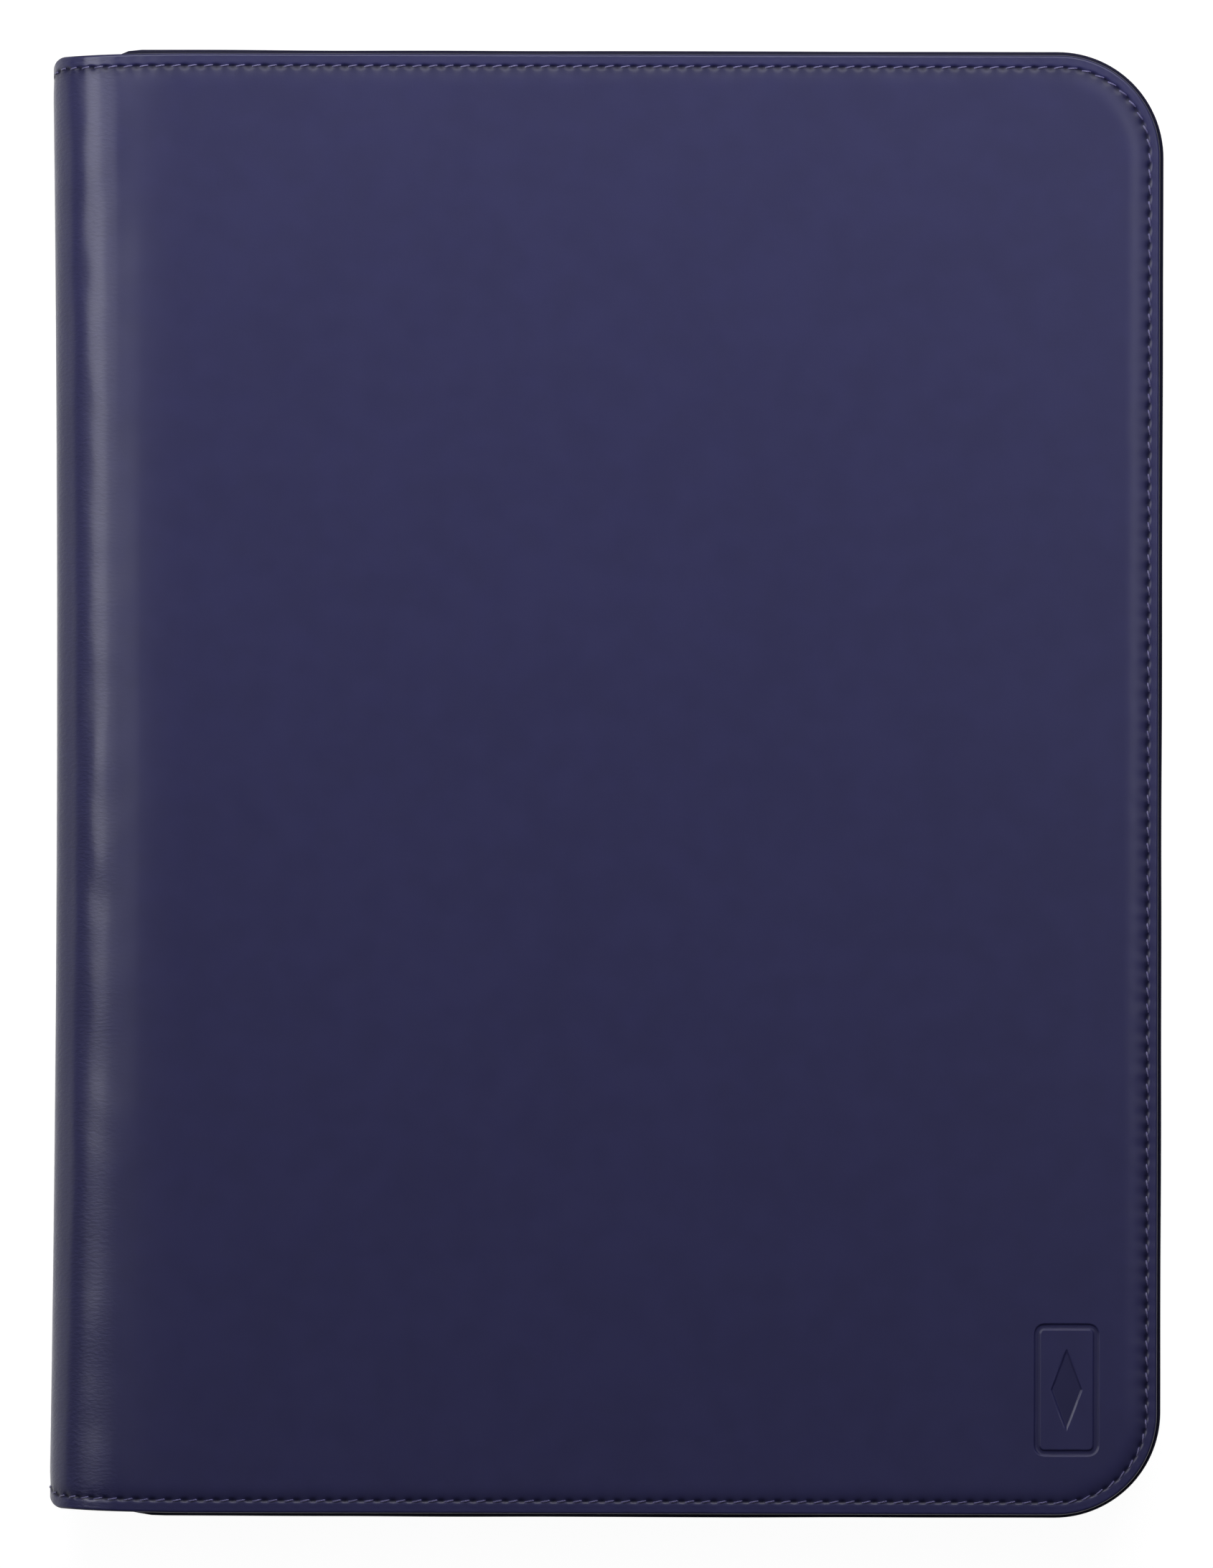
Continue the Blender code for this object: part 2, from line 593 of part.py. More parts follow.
def key_boxes(z, extra=0.0):
    """Every key as one bmesh of separate boxes, row by row from the spine outwards."""
    bm = bmesh.new()
    x = KEYS_LEFT
    for row, widths in enumerate(KEY_ROWS):
        pitch = ROW_PITCH if row else TOP_ROW_PITCH
        y = KEYS_HALF
        for width in widths:
            size_x = pitch - KEY_SPACING + 2 * extra
            size_y = width * KEY_PITCH - KEY_SPACING + 2 * extra
            middle = (x + pitch / 2, y - width * KEY_PITCH / 2, (z[0] + z[1]) / 2)
            matrix = Matrix.Translation(middle) @ Matrix.Diagonal((size_x, size_y, z[1] - z[0], 1))
            bmesh.ops.create_cube(bm, size=1.0, matrix=matrix)
            y -= width * KEY_PITCH
        x += pitch
    return bm


def build_keyboard():
    body = "front_cover"
    x = (KEYBOARD_LEFT, KEYBOARD_RIGHT)
    y = (-KEYBOARD_HALF, KEYBOARD_HALF)
    outline = rounded_rectangle(x, y, KEYBOARD_CORNER)
    shell = tray_shape(outline, (SHELL_LOW, SHELL_HIGH), KEYBOARD_WALL, KEYBOARD_CAVITY, False)
    shell = node("keyboard_shell", body, shell, "keyboard_plastic")
    port_z = (SHELL_LOW + GAP, SHELL_LOW + GAP + PORT_SIZE[2])
    port_x = (BAR_MIDDLE - PORT_SIZE[0] / 2, BAR_MIDDLE + PORT_SIZE[0] / 2)
    port_y = (y[0] + PORT_FROM_END, y[0] + PORT_FROM_END + PORT_SIZE[1])
    hole = block((port_x[0] - GAP, port_x[1] + GAP), (y[0] - 1, y[0] + 2), (SHELL_LOW - 1, port_z[1] + GAP))
    combine(shell, hole, "DIFFERENCE")
    node("charge_port", body, block(port_x, port_y, port_z), "steel")

    plate = node("key_plate", body, prism(outline, (PLATE_LOW, PLATE_HIGH)), "keyboard_plastic")
    through = (PLATE_LOW - 1, PLATE_HIGH + 1)
    combine(plate, key_boxes(through, KEY_HOLE_CLEARANCE), "DIFFERENCE")
    mat_x = (KEYS_LEFT - 1, x[1] - KEYBOARD_WALL - GAP)
    mat_y = (-KEYS_HALF - 2, KEYS_HALF + 2)
    mat_z = (SHELL_LOW, SHELL_LOW + KEY_MAT)
    mat_outline = rounded_rectangle(mat_x, mat_y, KEYBOARD_CORNER - KEYBOARD_WALL)
    mat = node("key_mat", body, prism(mat_outline, mat_z), "key_rubber")
    combine(mat, key_boxes((KEY_TIP, mat_z[0] + KEY_MAT / 2)), "UNION")
    sheet_z = (mat_z[1] + GAP, mat_z[1] + GAP + MEMBRANE)
    node("key_membrane", body, prism(mat_outline, sheet_z), "membrane")

    bar_x = (x[0] + KEYBOARD_WALL + 1, KEYS_LEFT - 2)
    cell_z = (SHELL_LOW + GAP, SHELL_CEILING - GAP)
    board_y = (CIRCUIT_Y, CIRCUIT_Y + CIRCUIT_LENGTH)
    board_z = (SHELL_CEILING - GAP - CIRCUIT_THICKNESS, SHELL_CEILING - GAP)
    battery_y = (BATTERY_Y, KEYBOARD_HALF - BATTERY_FAR_END)
    node("keyboard_battery", body, block(bar_x, battery_y, cell_z), "battery_foil")
    node("keyboard_circuit", body, block(bar_x, board_y, board_z), "circuit_board")
    build_controls(plate, board_z[0])

    pad_z = (SHELL_HIGH + GAP, SHELL_HIGH + GAP + GRIP_PAD)
    for name, side in (("grip_pad_left", 1), ("grip_pad_right", -1)):
        pad_y = sorted((side * (KEYBOARD_HALF - 45), side * (KEYBOARD_HALF - 12)))
        node(name, body, block((x[0] + 12, x[1] - 12), pad_y, pad_z), "lining_fabric")


def build_controls(plate, board_low):
    """Power switch, pairing button and status light, set in the plate beside the keys."""
    through = (PLATE_LOW - 1, PLATE_HIGH + 1)
    half_x = SWITCH_SIZE[0] / 2
    half_y = SWITCH_SIZE[1] / 2
    z = (PLATE_LOW - 0.5, SHELL_LOW + 0.4)
    slot_y = (SWITCH_Y - half_y - GAP, SWITCH_Y + half_y + SWITCH_TRAVEL + GAP)
    slot = block((BAR_MIDDLE - half_x - GAP, BAR_MIDDLE + half_x + GAP), slot_y, through)
    combine(plate, slot, "DIFFERENCE")
    knob_x = (BAR_MIDDLE - half_x, BAR_MIDDLE + half_x)
    knob_y = (SWITCH_Y - half_y, SWITCH_Y + half_y)
    node("power_switch", "switch", block(knob_x, knob_y, z), "keyboard_plastic")
    combine(plate, rod((BAR_MIDDLE, BUTTON_Y), BUTTON_RADIUS + GAP, through, "Z"), "DIFFERENCE")
    node("pairing_button", "button", rod((BAR_MIDDLE, BUTTON_Y), BUTTON_RADIUS, z, "Z"), "keyboard_plastic")
    combine(plate, rod((BAR_MIDDLE, LIGHT_Y), LIGHT_RADIUS + GAP, through, "Z", 12), "DIFFERENCE")
    light_z = (PLATE_LOW + 0.1, board_low - GAP)
    node("status_light", "front_cover", rod((BAR_MIDDLE, LIGHT_Y), LIGHT_RADIUS, light_z, "Z", 12), "light_lens")


# Pockets and pen loop

def build_pockets():
    low = KEYBOARD_RIGHT + POCKET_SETBACK
    x = (low, EDGE_X - POCKET_SETBACK)
    z = (FRONT_LINING - GAP - POCKET, FRONT_LINING - GAP)
    for name, side in (("card_pocket_left", 1), ("card_pocket_right", -1)):
        y = sorted((side * POCKET_SPACING / 2, side * (POCKET_SPACING / 2 + POCKET_LENGTH)))
        node(name, "front_cover", prism(rounded_rectangle(x, y, 4.0), z), "lining_fabric")


def build_pen_loop():
    y = (EDGE_Y - PEN_LOOP_EDGE - PEN_LOOP_SPAN, EDGE_Y - PEN_LOOP_EDGE)
    z = (COVER + GAP, KEY_TIP - 0.4)
    x = (-PEN_LOOP_WIDTH / 2, PEN_LOOP_WIDTH / 2)
    wall = PEN_LOOP_WALL
    loop = node("pen_loop", "back_cover", prism(rounded_rectangle(y, z, 4.0), x, "X"), "elastic")
    inside = rounded_rectangle((y[0] + wall, y[1] - wall), (z[0] + wall, z[1] - wall), 4.0 - wall)
    combine(loop, prism(inside, (x[0] - 1, x[1] + 1), "X"), "DIFFERENCE")


build_cover("back", "back_cover", lambda bm: bm)
build_cover("front", "front_cover", flip_to_front)
build_closure("back", "back_cover", lambda bm: bm)
build_closure("front", "front_cover", flip_to_front)
build_spine()
build_zip_stops()
build_slider()
build_tray()
build_tray_hinge()
build_leg()
build_keyboard()
build_pockets()
build_pen_loop()
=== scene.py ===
"""Looks of a zip-around tablet keyboard folio in navy leatherette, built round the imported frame."""

import json
import math

import bmesh
import bpy
import numpy as np
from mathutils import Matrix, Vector, noise
from mathutils.geometry import delaunay_2d_cdt


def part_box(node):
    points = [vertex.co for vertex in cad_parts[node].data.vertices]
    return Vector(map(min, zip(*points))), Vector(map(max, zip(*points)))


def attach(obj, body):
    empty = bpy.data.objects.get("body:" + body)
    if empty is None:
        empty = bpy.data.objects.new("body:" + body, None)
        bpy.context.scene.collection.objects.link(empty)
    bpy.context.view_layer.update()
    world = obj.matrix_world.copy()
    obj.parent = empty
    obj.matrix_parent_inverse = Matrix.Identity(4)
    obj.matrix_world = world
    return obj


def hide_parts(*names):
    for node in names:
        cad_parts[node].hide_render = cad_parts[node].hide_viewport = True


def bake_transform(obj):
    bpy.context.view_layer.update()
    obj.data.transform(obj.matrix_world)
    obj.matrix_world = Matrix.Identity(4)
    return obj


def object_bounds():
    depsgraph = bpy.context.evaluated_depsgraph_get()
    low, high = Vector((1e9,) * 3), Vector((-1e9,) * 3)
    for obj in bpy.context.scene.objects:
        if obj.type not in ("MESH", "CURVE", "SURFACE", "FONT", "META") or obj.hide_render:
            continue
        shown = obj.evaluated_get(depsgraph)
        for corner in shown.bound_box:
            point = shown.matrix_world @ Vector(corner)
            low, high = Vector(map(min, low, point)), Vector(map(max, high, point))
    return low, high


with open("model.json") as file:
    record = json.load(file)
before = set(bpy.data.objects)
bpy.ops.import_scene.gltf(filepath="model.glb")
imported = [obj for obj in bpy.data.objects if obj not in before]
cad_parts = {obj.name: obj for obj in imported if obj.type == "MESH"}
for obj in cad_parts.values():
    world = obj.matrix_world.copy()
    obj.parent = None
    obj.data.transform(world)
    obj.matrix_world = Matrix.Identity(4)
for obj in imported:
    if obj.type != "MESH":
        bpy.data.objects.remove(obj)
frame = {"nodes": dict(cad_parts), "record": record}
CAD_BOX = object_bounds()

MM = 0.001
LEFT = CAD_BOX[0][0] / MM
TOP = CAD_BOX[1][2] / MM
MIDDLE = TOP / 2
EDGE_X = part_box("front_cover_leather")[1].x / MM
EDGE_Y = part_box("front_cover_leather")[1].y / MM
COVER_RADIUS = 23.2

# Sizes are in millimetres, apart from the studio's. A ramp or a fade is where a smooth step starts and ends

# The leather sheet and its roll over the spine
LEATHER = 1.0
EDGE_ROUND = 0.6
ROLL_DEPTH = 15.5
ROLL_SAMPLES = 400
SPARE = 20
SPINE_PULL = 1.3
SPINE_PULL_REACH = 4
SPINE_CORNER = 2.3
SPINE_DROP = 0.65
SPINE_DROP_REACH = 42

# How the padding lifts the sheet and lets it sink
CROWN_ENDS = 0.1
CROWN_SIDE = 0.34
CROWN_RAMP = (1.5, 7.4)
SHOULDER = 0.9
SHOULDER_RAMP = (2, 18)
SHOULDER_FADE = (-5, 13)
BARREL = 1.0
BARREL_RAMP = (2, 10)
BARREL_FADE = (13, 30)
WAVE = 0.05
WAVE_SIZE = (62, 48)
SWELLS = ((0.3, (22, 26), 7), (0.12, (8, 9), 3))
SWELL_PLACE = 0.75
SWELL_REACH = 9.0
MEETING_RAMP = (0, 6)
RIPPLE = 0.05
RIPPLE_SHIFT = 11
RIPPLE_SIZE = (5.5, 4.2)
RIPPLE_INSET = 4.2
RIPPLE_REACH = 2.4

# The sewing: a pair of reaches is outwards and inwards of the line
STITCH_PITCH = 3.66
STITCH_INSET = 2.35
STITCH_INSET_ENDS = 2.85
STITCH_LENGTH = 1.9
STITCH_SINK = 0.3
STITCH_RISE = 0.7
STITCH_LEAN = 0.2
THREAD = 0.38
GROOVE_DEPTH = 0.08
GROOVE_REACH = (0.3, 1.8)
HOLE_DEPTH = 0.36
HOLE_REACH = (0.4, 0.6)
PUCKER = 0.05
PUCKER_REACH = 1.0
PUCKER_INSET = 1.1
BEAD = 0.05
BEAD_REACH = 0.6
BEAD_INSET = 0.9

# How much the leather darkens, from 0 to 1: painted shadow at the needle holes, painted shade with the
# pressed leather's darker tone along the sewing's groove, and a darker tone at the cut edge and the pressed
# mark
GROOVE_TONE_AND_PAINTED_SHADE = 0.5
HOLE_PAINTED_SHADOW = 0.7
EDGE_SHADE = 0.8
EDGE_SHADE_RAMP = (0.05, 0.5)
MARK_SHADE = 0.3
DARKEST = 0.3

# Fine folds along the spine
FOLD_FADE = (10, 19)
FOLD_DEPTH = 8.0

# The debossed mark
MARK_CENTRE = (105.5, -137.9)
MARK_SIZE = (15.0, 30.4)
MARK_RADIUS = 2.5
MARK_DEPTH = 0.3
MARK_LINE = 1.6
MARK_SLOPE = 0.4
LOZENGE = (3.6, 9.5)
LOZENGE_SLOPE = (0.92, 1)

# Mesh spacing over the sheet
EDGE_COLUMN = STITCH_PITCH / 6
EDGE_TURN_STEPS = 44
STRIP_INSETS = (
    8, 6.8, 5.8, 5.0, 4.4, 3.95, 3.6, 3.3, 3.05, 2.85, 2.65, 2.45,
    2.25, 2.05, 1.85, 1.55, 1.2, 0.9, 0.6, 0.4, 0.2, 0.07, 0,
)
TURNED_ROWS = ((0.0, -1.9), (0.0, -3.2), (0.05, -4.6), (0.5, -4.95), (1.3, -5.0))
TURN_DROP = 0.1
ROW_SPACING = 3.2
ROLL_SPACING = 0.8
FLAT_SPACING = 4.2
MEETING_SPACING = 3.0
GRID_MARGINS = (3, 2)
ROLL_MARGIN = 6
FLAT_MARGIN = 9
MARK_CLEARANCE = 1.2
STRIP_CLEARANCE = 1.0
MARK_STEPS = (-0.8, -0.15, 0, 0.15, 0.3, 0.4)
LOZENGE_SCALES = (0.3, 0.6, 0.85, 0.92, 0.96, 1, 1.05, 1.15)
FRAME_POINTS = 60

# The lining under the hinge
HINGE_LINING = 0.4
HINGE_LINING_GAP = 0.15
HINGE_LINING_START = 6.0
HINGE_LINING_INSET = 8
HINGE_LINING_ROWS = 110

# The closure
BAND_WIDTH = 2.2
BAND_ROUND = 0.6
BAND_LEAD = 4.5
BAND_TAPERS = (10.7, 4.2)
BAND_TIP = 0.3
BAND_WAVE = 0.12
BAND_WAVE_LENGTH = 30
TAPE_WIDTH = 0.8
TAPE_ROUND = 0.3
RIM_SPACING = 3.0
RIM_TURN_STEPS = 30
TEETH_WIDTH = 2.4
TEETH_PITCH = 1.6
TOOTH_THICKNESS = 0.85
TOOTH_MARGIN = 0.9
TOOTH_SINK = 0.6
TOOTH_LEAN = 0.1

# The studio, in metres, with the roll in degrees
FLOOR_HALF = 6.0
FLOOR_LEVEL = -0.0004
CAMERA_HEIGHT = 3.0
CAMERA_X = 0.0002
CAMERA_SUBJECT = 0.7
CAMERA_ROLL = 0.15
FRAME_HEIGHT = 0.35867
SENSOR = 36
# name, place, target, size, watts, lights matt surfaces, shows in glossy ones
LIGHTS = (
    ("window", (-1.48, 0.58, 1.18), (-0.11, 0.58, 0), (1.25, 0.76), 20.5, False, True),
    ("curtain", (-0.9, 0.58, 1.62), (-0.11, 0.58, 0), (1.25, 0.8), 9.4, False, True),
    ("overhead", (0, 0.48, 0.55), (0, 0, 0), (0.9, 0.3), 5.3, True, True),
    ("fill", (0, 0.2, 2), (0, 0, 0), (1.5, 1.5), 3, True, False),
    ("right", (0.584, 0.22, 1.94), (0.1, 0.22, 0), (0.6, 0.45), 2.5, False, True),
)
WORLD_LIGHT = 0.04


# Materials

class Value:
    """A shader socket that can be used in sums."""

    def __init__(self, finish, socket):
        self.finish = finish
        self.socket = socket

    def maths(self, operation, first, second=None):
        sockets = {0: first} if second is None else {0: first, 1: second}
        return self.finish.node("ShaderNodeMath", {"operation": operation}, sockets)

    def __add__(self, other):
        return self.maths("ADD", self, other)

    def __radd__(self, other):
        return self.maths("ADD", other, self)

    def __sub__(self, other):
        return self.maths("SUBTRACT", self, other)

    def __rsub__(self, other):
        return self.maths("SUBTRACT", other, self)

    def __mul__(self, other):
        return self.maths("MULTIPLY", self, other)

    def __rmul__(self, other):
        return self.maths("MULTIPLY", other, self)

    def sine(self):
        return self.maths("SINE", self)


class Finish:
    """A material with one Principled shader, built from one node-making method."""

    def __init__(self, name, roughness=0.5, metallic=0.0, **shader):
        self.material = bpy.data.materials.new(name)
        self.material.use_nodes = True
        self.tree = self.material.node_tree
        self.shader = self.tree.nodes["Principled BSDF"]
        self.set("Roughness", roughness)
        self.set("Metallic", metallic)
        for socket, value in shader.items():
            self.set(socket.replace("_", " ").title().replace("Ior", "IOR"), value)

    def node(self, kind, settings, sockets, output=0):
        made = self.tree.nodes.new(kind)
        for name, value in settings.items():
            setattr(made, name, value)
        for name, value in sockets.items():
            wanted = [socket for socket in made.inputs if socket.enabled and socket.name == name]
            socket = wanted[0] if wanted else made.inputs[name]
            if isinstance(value, Value):
                self.tree.links.new(value.socket, socket)
            else:
                socket.default_value = value
        return Value(self, made.outputs[output])

    def set(self, name, value):
        if isinstance(value, Value):
            self.tree.links.new(value.socket, self.shader.inputs[name])
        else:
            self.shader.inputs[name].default_value = value

    def place(self, scale=(1, 1, 1)):
        """The surface's own coordinates in millimetres, stretched along each axis."""
        spot = self.node("ShaderNodeTexCoord", {}, {}, "Object")
        sockets = {"Vector": spot, "Scale": [1000 * factor for factor in scale]}
        return self.node("ShaderNodeMapping", {}, sockets)

    def axis(self, name):
        return self.node("ShaderNodeSeparateXYZ", {}, {0: self.place()}, name)

    def noise(self, size, detail=2.0, scale=(1, 1, 1), roughness=0.5):
        """Cloudy noise whose features are about size millimetres."""
        sockets = {"Vector": self.place(scale), "Scale": 1 / size, "Detail": detail, "Roughness": roughness}
        return self.node("ShaderNodeTexNoise", {}, sockets)

    def cells(self, size):
        """Rounded cells about size millimetres across."""
        return self.node("ShaderNodeTexVoronoi", {}, {"Vector": self.place(), "Scale": 1 / size})

    def remap(self, value, low, high, to_low=0.0, to_high=1.0):
        """A smooth step from to_low, where the value is low, to to_high, where it is high."""
        sockets = {"Value": value, "From Min": low, "From Max": high, "To Min": to_low, "To Max": to_high}
        return self.node("ShaderNodeMapRange", {"interpolation_type": "SMOOTHSTEP"}, sockets)

    def mix(self, factor, first, second):
        """A colour between two, each a tuple or another mix."""
        first, second = (side if isinstance(side, Value) else (*side, 1) for side in (first, second))
        sockets = {"Factor": factor, "A": first, "B": second}
        return self.node("ShaderNodeMix", {"data_type": "RGBA"}, sockets, 2)

    def colour(self, value):
        self.set("Base Color", value)

    def bump(self, height, depth, strength):
        """Raises the surface by height (0 to 1) times depth in millimetres."""
        sockets = {"Height": height, "Distance": depth * MM, "Strength": strength}
        self.set("Normal", self.node("ShaderNodeBump", {}, sockets))


def scaled(colour, factor):
    return tuple(channel * factor for channel in colour)


def leatherette(name, colour, roughness=0.42, gloss=0.42, wrinkles=False):
    """Smooth leatherette under a glossy coat: barely cloudy, with a fine crossed grain and tiny pebbles.

    With wrinkles, fine folds run along the spine, and the sewing, the mark and the cut edge are darker:
    painted shadow in the needle holes, painted shade with the pressed leather's darker tone along the
    groove, and a darker tone at the mark and the cut edge.
    """
    finish = Finish(name, specular_ior_level=0.1, coat_weight=gloss, coat_roughness=0.24)
    tone = finish.noise(28, 3) * 0.5 + finish.noise(7, 2) * 0.5
    tone = finish.remap(tone, 0.3, 0.7)
    shade = finish.mix(tone, scaled(colour, 0.95), scaled(colour, 1.05))
    finish.colour(shade)
    along = finish.noise(0.5, 2, (1, 0.12, 1))
    across = finish.noise(0.5, 2, (0.12, 1, 1))
    pebble = finish.cells(0.55)
    grain = along * 0.35 + across * 0.35 + pebble * 0.3
    finish.set("Roughness", finish.remap(finish.noise(5, 3), 0.3, 0.7, roughness - 0.03, roughness + 0.03))
    if wrinkles:
        near_spine = 1 - finish.remap(finish.axis("X"), *(LEFT + end for end in FOLD_FADE))
        folds = finish.noise(0.7, 2, (0.5, 1.1, 0.5), 0.6)
        grain = grain + folds * near_spine * FOLD_DEPTH
        # The attribute darkens the leather: painted shade at the sewing, and a darker tone at the cut edge
        # and the mark
        dark_tone_and_painted_shade = finish.node("ShaderNodeAttribute", {"attribute_name": "dark_tone_and_painted_shade"}, {}, "Fac")
        finish.colour(finish.mix(dark_tone_and_painted_shade, shade, scaled(colour, DARKEST)))
        finish.set("Coat Weight", gloss * (1 - dark_tone_and_painted_shade))
    finish.bump(grain, 0.05, 0.4)
    return finish.material


def woven(name, colour, pitch=0.5, depth=0.12, roughness=0.9):
    """Plain weave: threads over and under at the given pitch."""
    finish = Finish(name, roughness=roughness, sheen_weight=0.25)
    turns = 2 * math.pi / pitch
    over = (finish.axis("X") * turns).sine() * (finish.axis("Y") * turns).sine()
    fuzz = finish.noise(0.25, 3)
    height = over * 0.5 + 0.5 + fuzz * 0.5
    # The tone follows the threads' height: painted shade where they pass under and painted light where they
    # pass over, with random cloudy mottling
    tone = finish.remap(height + finish.noise(18, 2) * 0.5, 0.3, 1.7)
    finish.colour(finish.mix(tone, scaled(colour, 0.7), scaled(colour, 1.3)))
    finish.bump(height, depth, 0.7)
    return finish.material


def ribbed(name, colour, pitch=0.7):
    """Zip tape or elastic: cords side by side, pitch millimetres apart, with a fine cross weave."""
    finish = Finish(name, roughness=0.85, sheen_weight=0.2)
    rib = (finish.axis("Z") * (2 * math.pi / pitch)).sine()
    cross = ((finish.axis("X") + finish.axis("Y")) * (2 * math.pi / 0.55)).sine()
    height = rib * 0.35 + cross * 0.25 + finish.noise(0.3, 2) * 0.4 + 0.3
    # Darker between the cords and lighter on them: painted shade and painted light that follow the height,
    # with random fuzz
    finish.colour(finish.mix(finish.remap(height, 0, 1), scaled(colour, 0.7), scaled(colour, 1.35)))
    finish.bump(height, 0.12, 0.7)
    return finish.material


def moulded(name, colour, roughness=0.5, texture=0.03, size=0.35):
    """Injection-moulded plastic or rubber with a fine spark-eroded texture."""
    finish = Finish(name)
    finish.colour(finish.mix(finish.noise(14, 3), scaled(colour, 0.88), scaled(colour, 1.12)))
    finish.set("Roughness", finish.remap(finish.noise(4, 3), 0.3, 0.7, roughness - 0.05, roughness + 0.05))
    finish.bump(finish.noise(size, 2), texture, 0.6)
    return finish.material


def metal(name, colour, roughness=0.3):
    """Plated or brushed metal with fine drawn lines and small stains."""
    finish = Finish(name, metallic=1.0)
    finish.colour(finish.mix(finish.noise(3, 3), scaled(colour, 0.85), scaled(colour, 1.1)))
    lines = finish.noise(0.12, 3, (0.05, 1, 1))
    finish.set("Roughness", finish.remap(lines, 0.3, 0.7, roughness - 0.07, roughness + 0.1))
    finish.bump(lines, 0.01, 0.5)
    return finish.material


def twisted_thread(name, colour):
    """Sewing thread: its strands show as fine slanting stripes, painted darker between them and lighter on
    them.
    """
    finish = Finish(name, roughness=0.45)
    twist = ((finish.axis("X") + finish.axis("Y") + finish.axis("Z")) * (2 * math.pi / 0.45)).sine()
    height = twist * 0.5 + 0.5
    # Darker between the strands and lighter on their crests: painted shade and painted light that follow
    # the twist
    finish.colour(finish.mix(height, scaled(colour, 0.7), scaled(colour, 1.25)))
    finish.bump(height, 0.06, 0.7)
    return finish.material


def fibrous(name, colour, size):
    """Pressed board or open foam: mottled, with short fibres or pores."""
    finish = Finish(name, roughness=0.9)
    fibre = finish.noise(size, 4, (1, 0.3, 1), 0.7) * 0.6 + finish.cells(size * 1.5) * 0.4
    finish.colour(finish.mix(finish.remap(fibre, 0.2, 0.8), scaled(colour, 0.75), scaled(colour, 1.15)))
    finish.bump(fibre, 0.08, 0.6)
    return finish.material


NAVY = (0.029, 0.0285, 0.102)
FINISHES = {
    "leather": leatherette("navy_leatherette", NAVY, wrinkles=True),
    # The edge band is the same leatherette at a quarter of its colour: painted shade for the shadow under
    # the cover's edge
    "edge_leather": leatherette("navy_edge_leatherette_in_painted_shade", scaled(NAVY, 0.25), 0.6, 0.0),
    "lining_fabric": woven("navy_lining", (0.03, 0.03, 0.055)),
    "board": fibrous("binders_board", (0.30, 0.26, 0.20), 0.5),
    "foam": fibrous("padding_foam", (0.45, 0.45, 0.45), 0.4),
    "zip_tape": ribbed("zip_tape", (0.02, 0.02, 0.05)),
    "zip_teeth": moulded("nylon_teeth", (0.022, 0.022, 0.05), 0.38),
    "zip_metal": metal("plated_zinc", (0.26, 0.26, 0.28)),
    "steel": metal("bright_steel", (0.5, 0.5, 0.51)),
    "tray_plastic": moulded("tray_polycarbonate", (0.02, 0.02, 0.024)),
    "tray_liner": woven("microfibre", (0.055, 0.055, 0.075), 0.3, 0.05, 0.95),
    "rubber": moulded("soft_rubber", (0.018, 0.018, 0.018), 0.8),
    "keyboard_plastic": moulded("keyboard_plastic", (0.028, 0.028, 0.032), 0.45),
    "key_rubber": moulded("key_caps", (0.016, 0.016, 0.018), 0.55, 0.02),
    "membrane": moulded("membrane_film", (0.45, 0.47, 0.45), 0.4, 0.01),
    "circuit_board": moulded("solder_mask", (0.015, 0.12, 0.05), 0.4, 0.01),
    "battery_foil": metal("pouch_foil", (0.6, 0.6, 0.62), 0.35),
    "light_lens": moulded("light_lens", (0.55, 0.72, 0.66), 0.15, 0.0),
    "elastic": ribbed("black_elastic", (0.018, 0.018, 0.024), 0.9),
    "thread": twisted_thread("navy_thread", (0.13, 0.12, 0.28)),
    "legend": moulded("key_legend_ink", (0.6, 0.6, 0.6), 0.6, 0.0),
}


# Mesh helpers

SHARP = math.radians(50)
WELD = 1e-6


def new_piece(name, points, faces, slot, finish=None, smooth=True):
    """A mesh piece from points in millimetres."""
    mesh = bpy.data.meshes.new(name)
    mesh.from_pydata((np.asarray(points, float) * MM).tolist(), [], faces)
    mesh.update()
    piece = bpy.data.objects.new(name, mesh)
    bpy.context.scene.collection.objects.link(piece)
    return dress(piece, slot, finish, smooth)


def dress(piece, slot, finish=None, smooth=True):
    """Gives a piece its material, which is the slot's own unless another finish is named."""
    piece.data.materials.clear()
    piece.data.materials.append(FINISHES[finish or slot])
    if smooth:
        piece.data.shade_smooth()
        piece.data.set_sharp_from_angle(angle=SHARP)
    return piece


def plain_mesh(piece):
    """Applies the piece's modifiers, so that its mesh is final."""
    graph = bpy.context.evaluated_depsgraph_get()
    done = bpy.data.meshes.new_from_object(piece.evaluated_get(graph))
    piece.modifiers.clear()
    old = piece.data
    piece.data = done
    bpy.data.meshes.remove(old)
    return piece


def ease(value, low, high):
    """A smooth step from 0 at low to 1 at high, for numbers and arrays."""
    t = np.clip((np.asarray(value, float) - low) / (high - low), 0, 1)
    return t * t * (3 - 2 * t)


def hill(value, middle, reach):
    """A smooth hill, 1 at the middle and fading over the reach."""
    return np.exp(-((value - middle) / reach) ** 2)


# The leather sheet: its flat coordinates are s, from the middle of the spine towards the right, and y

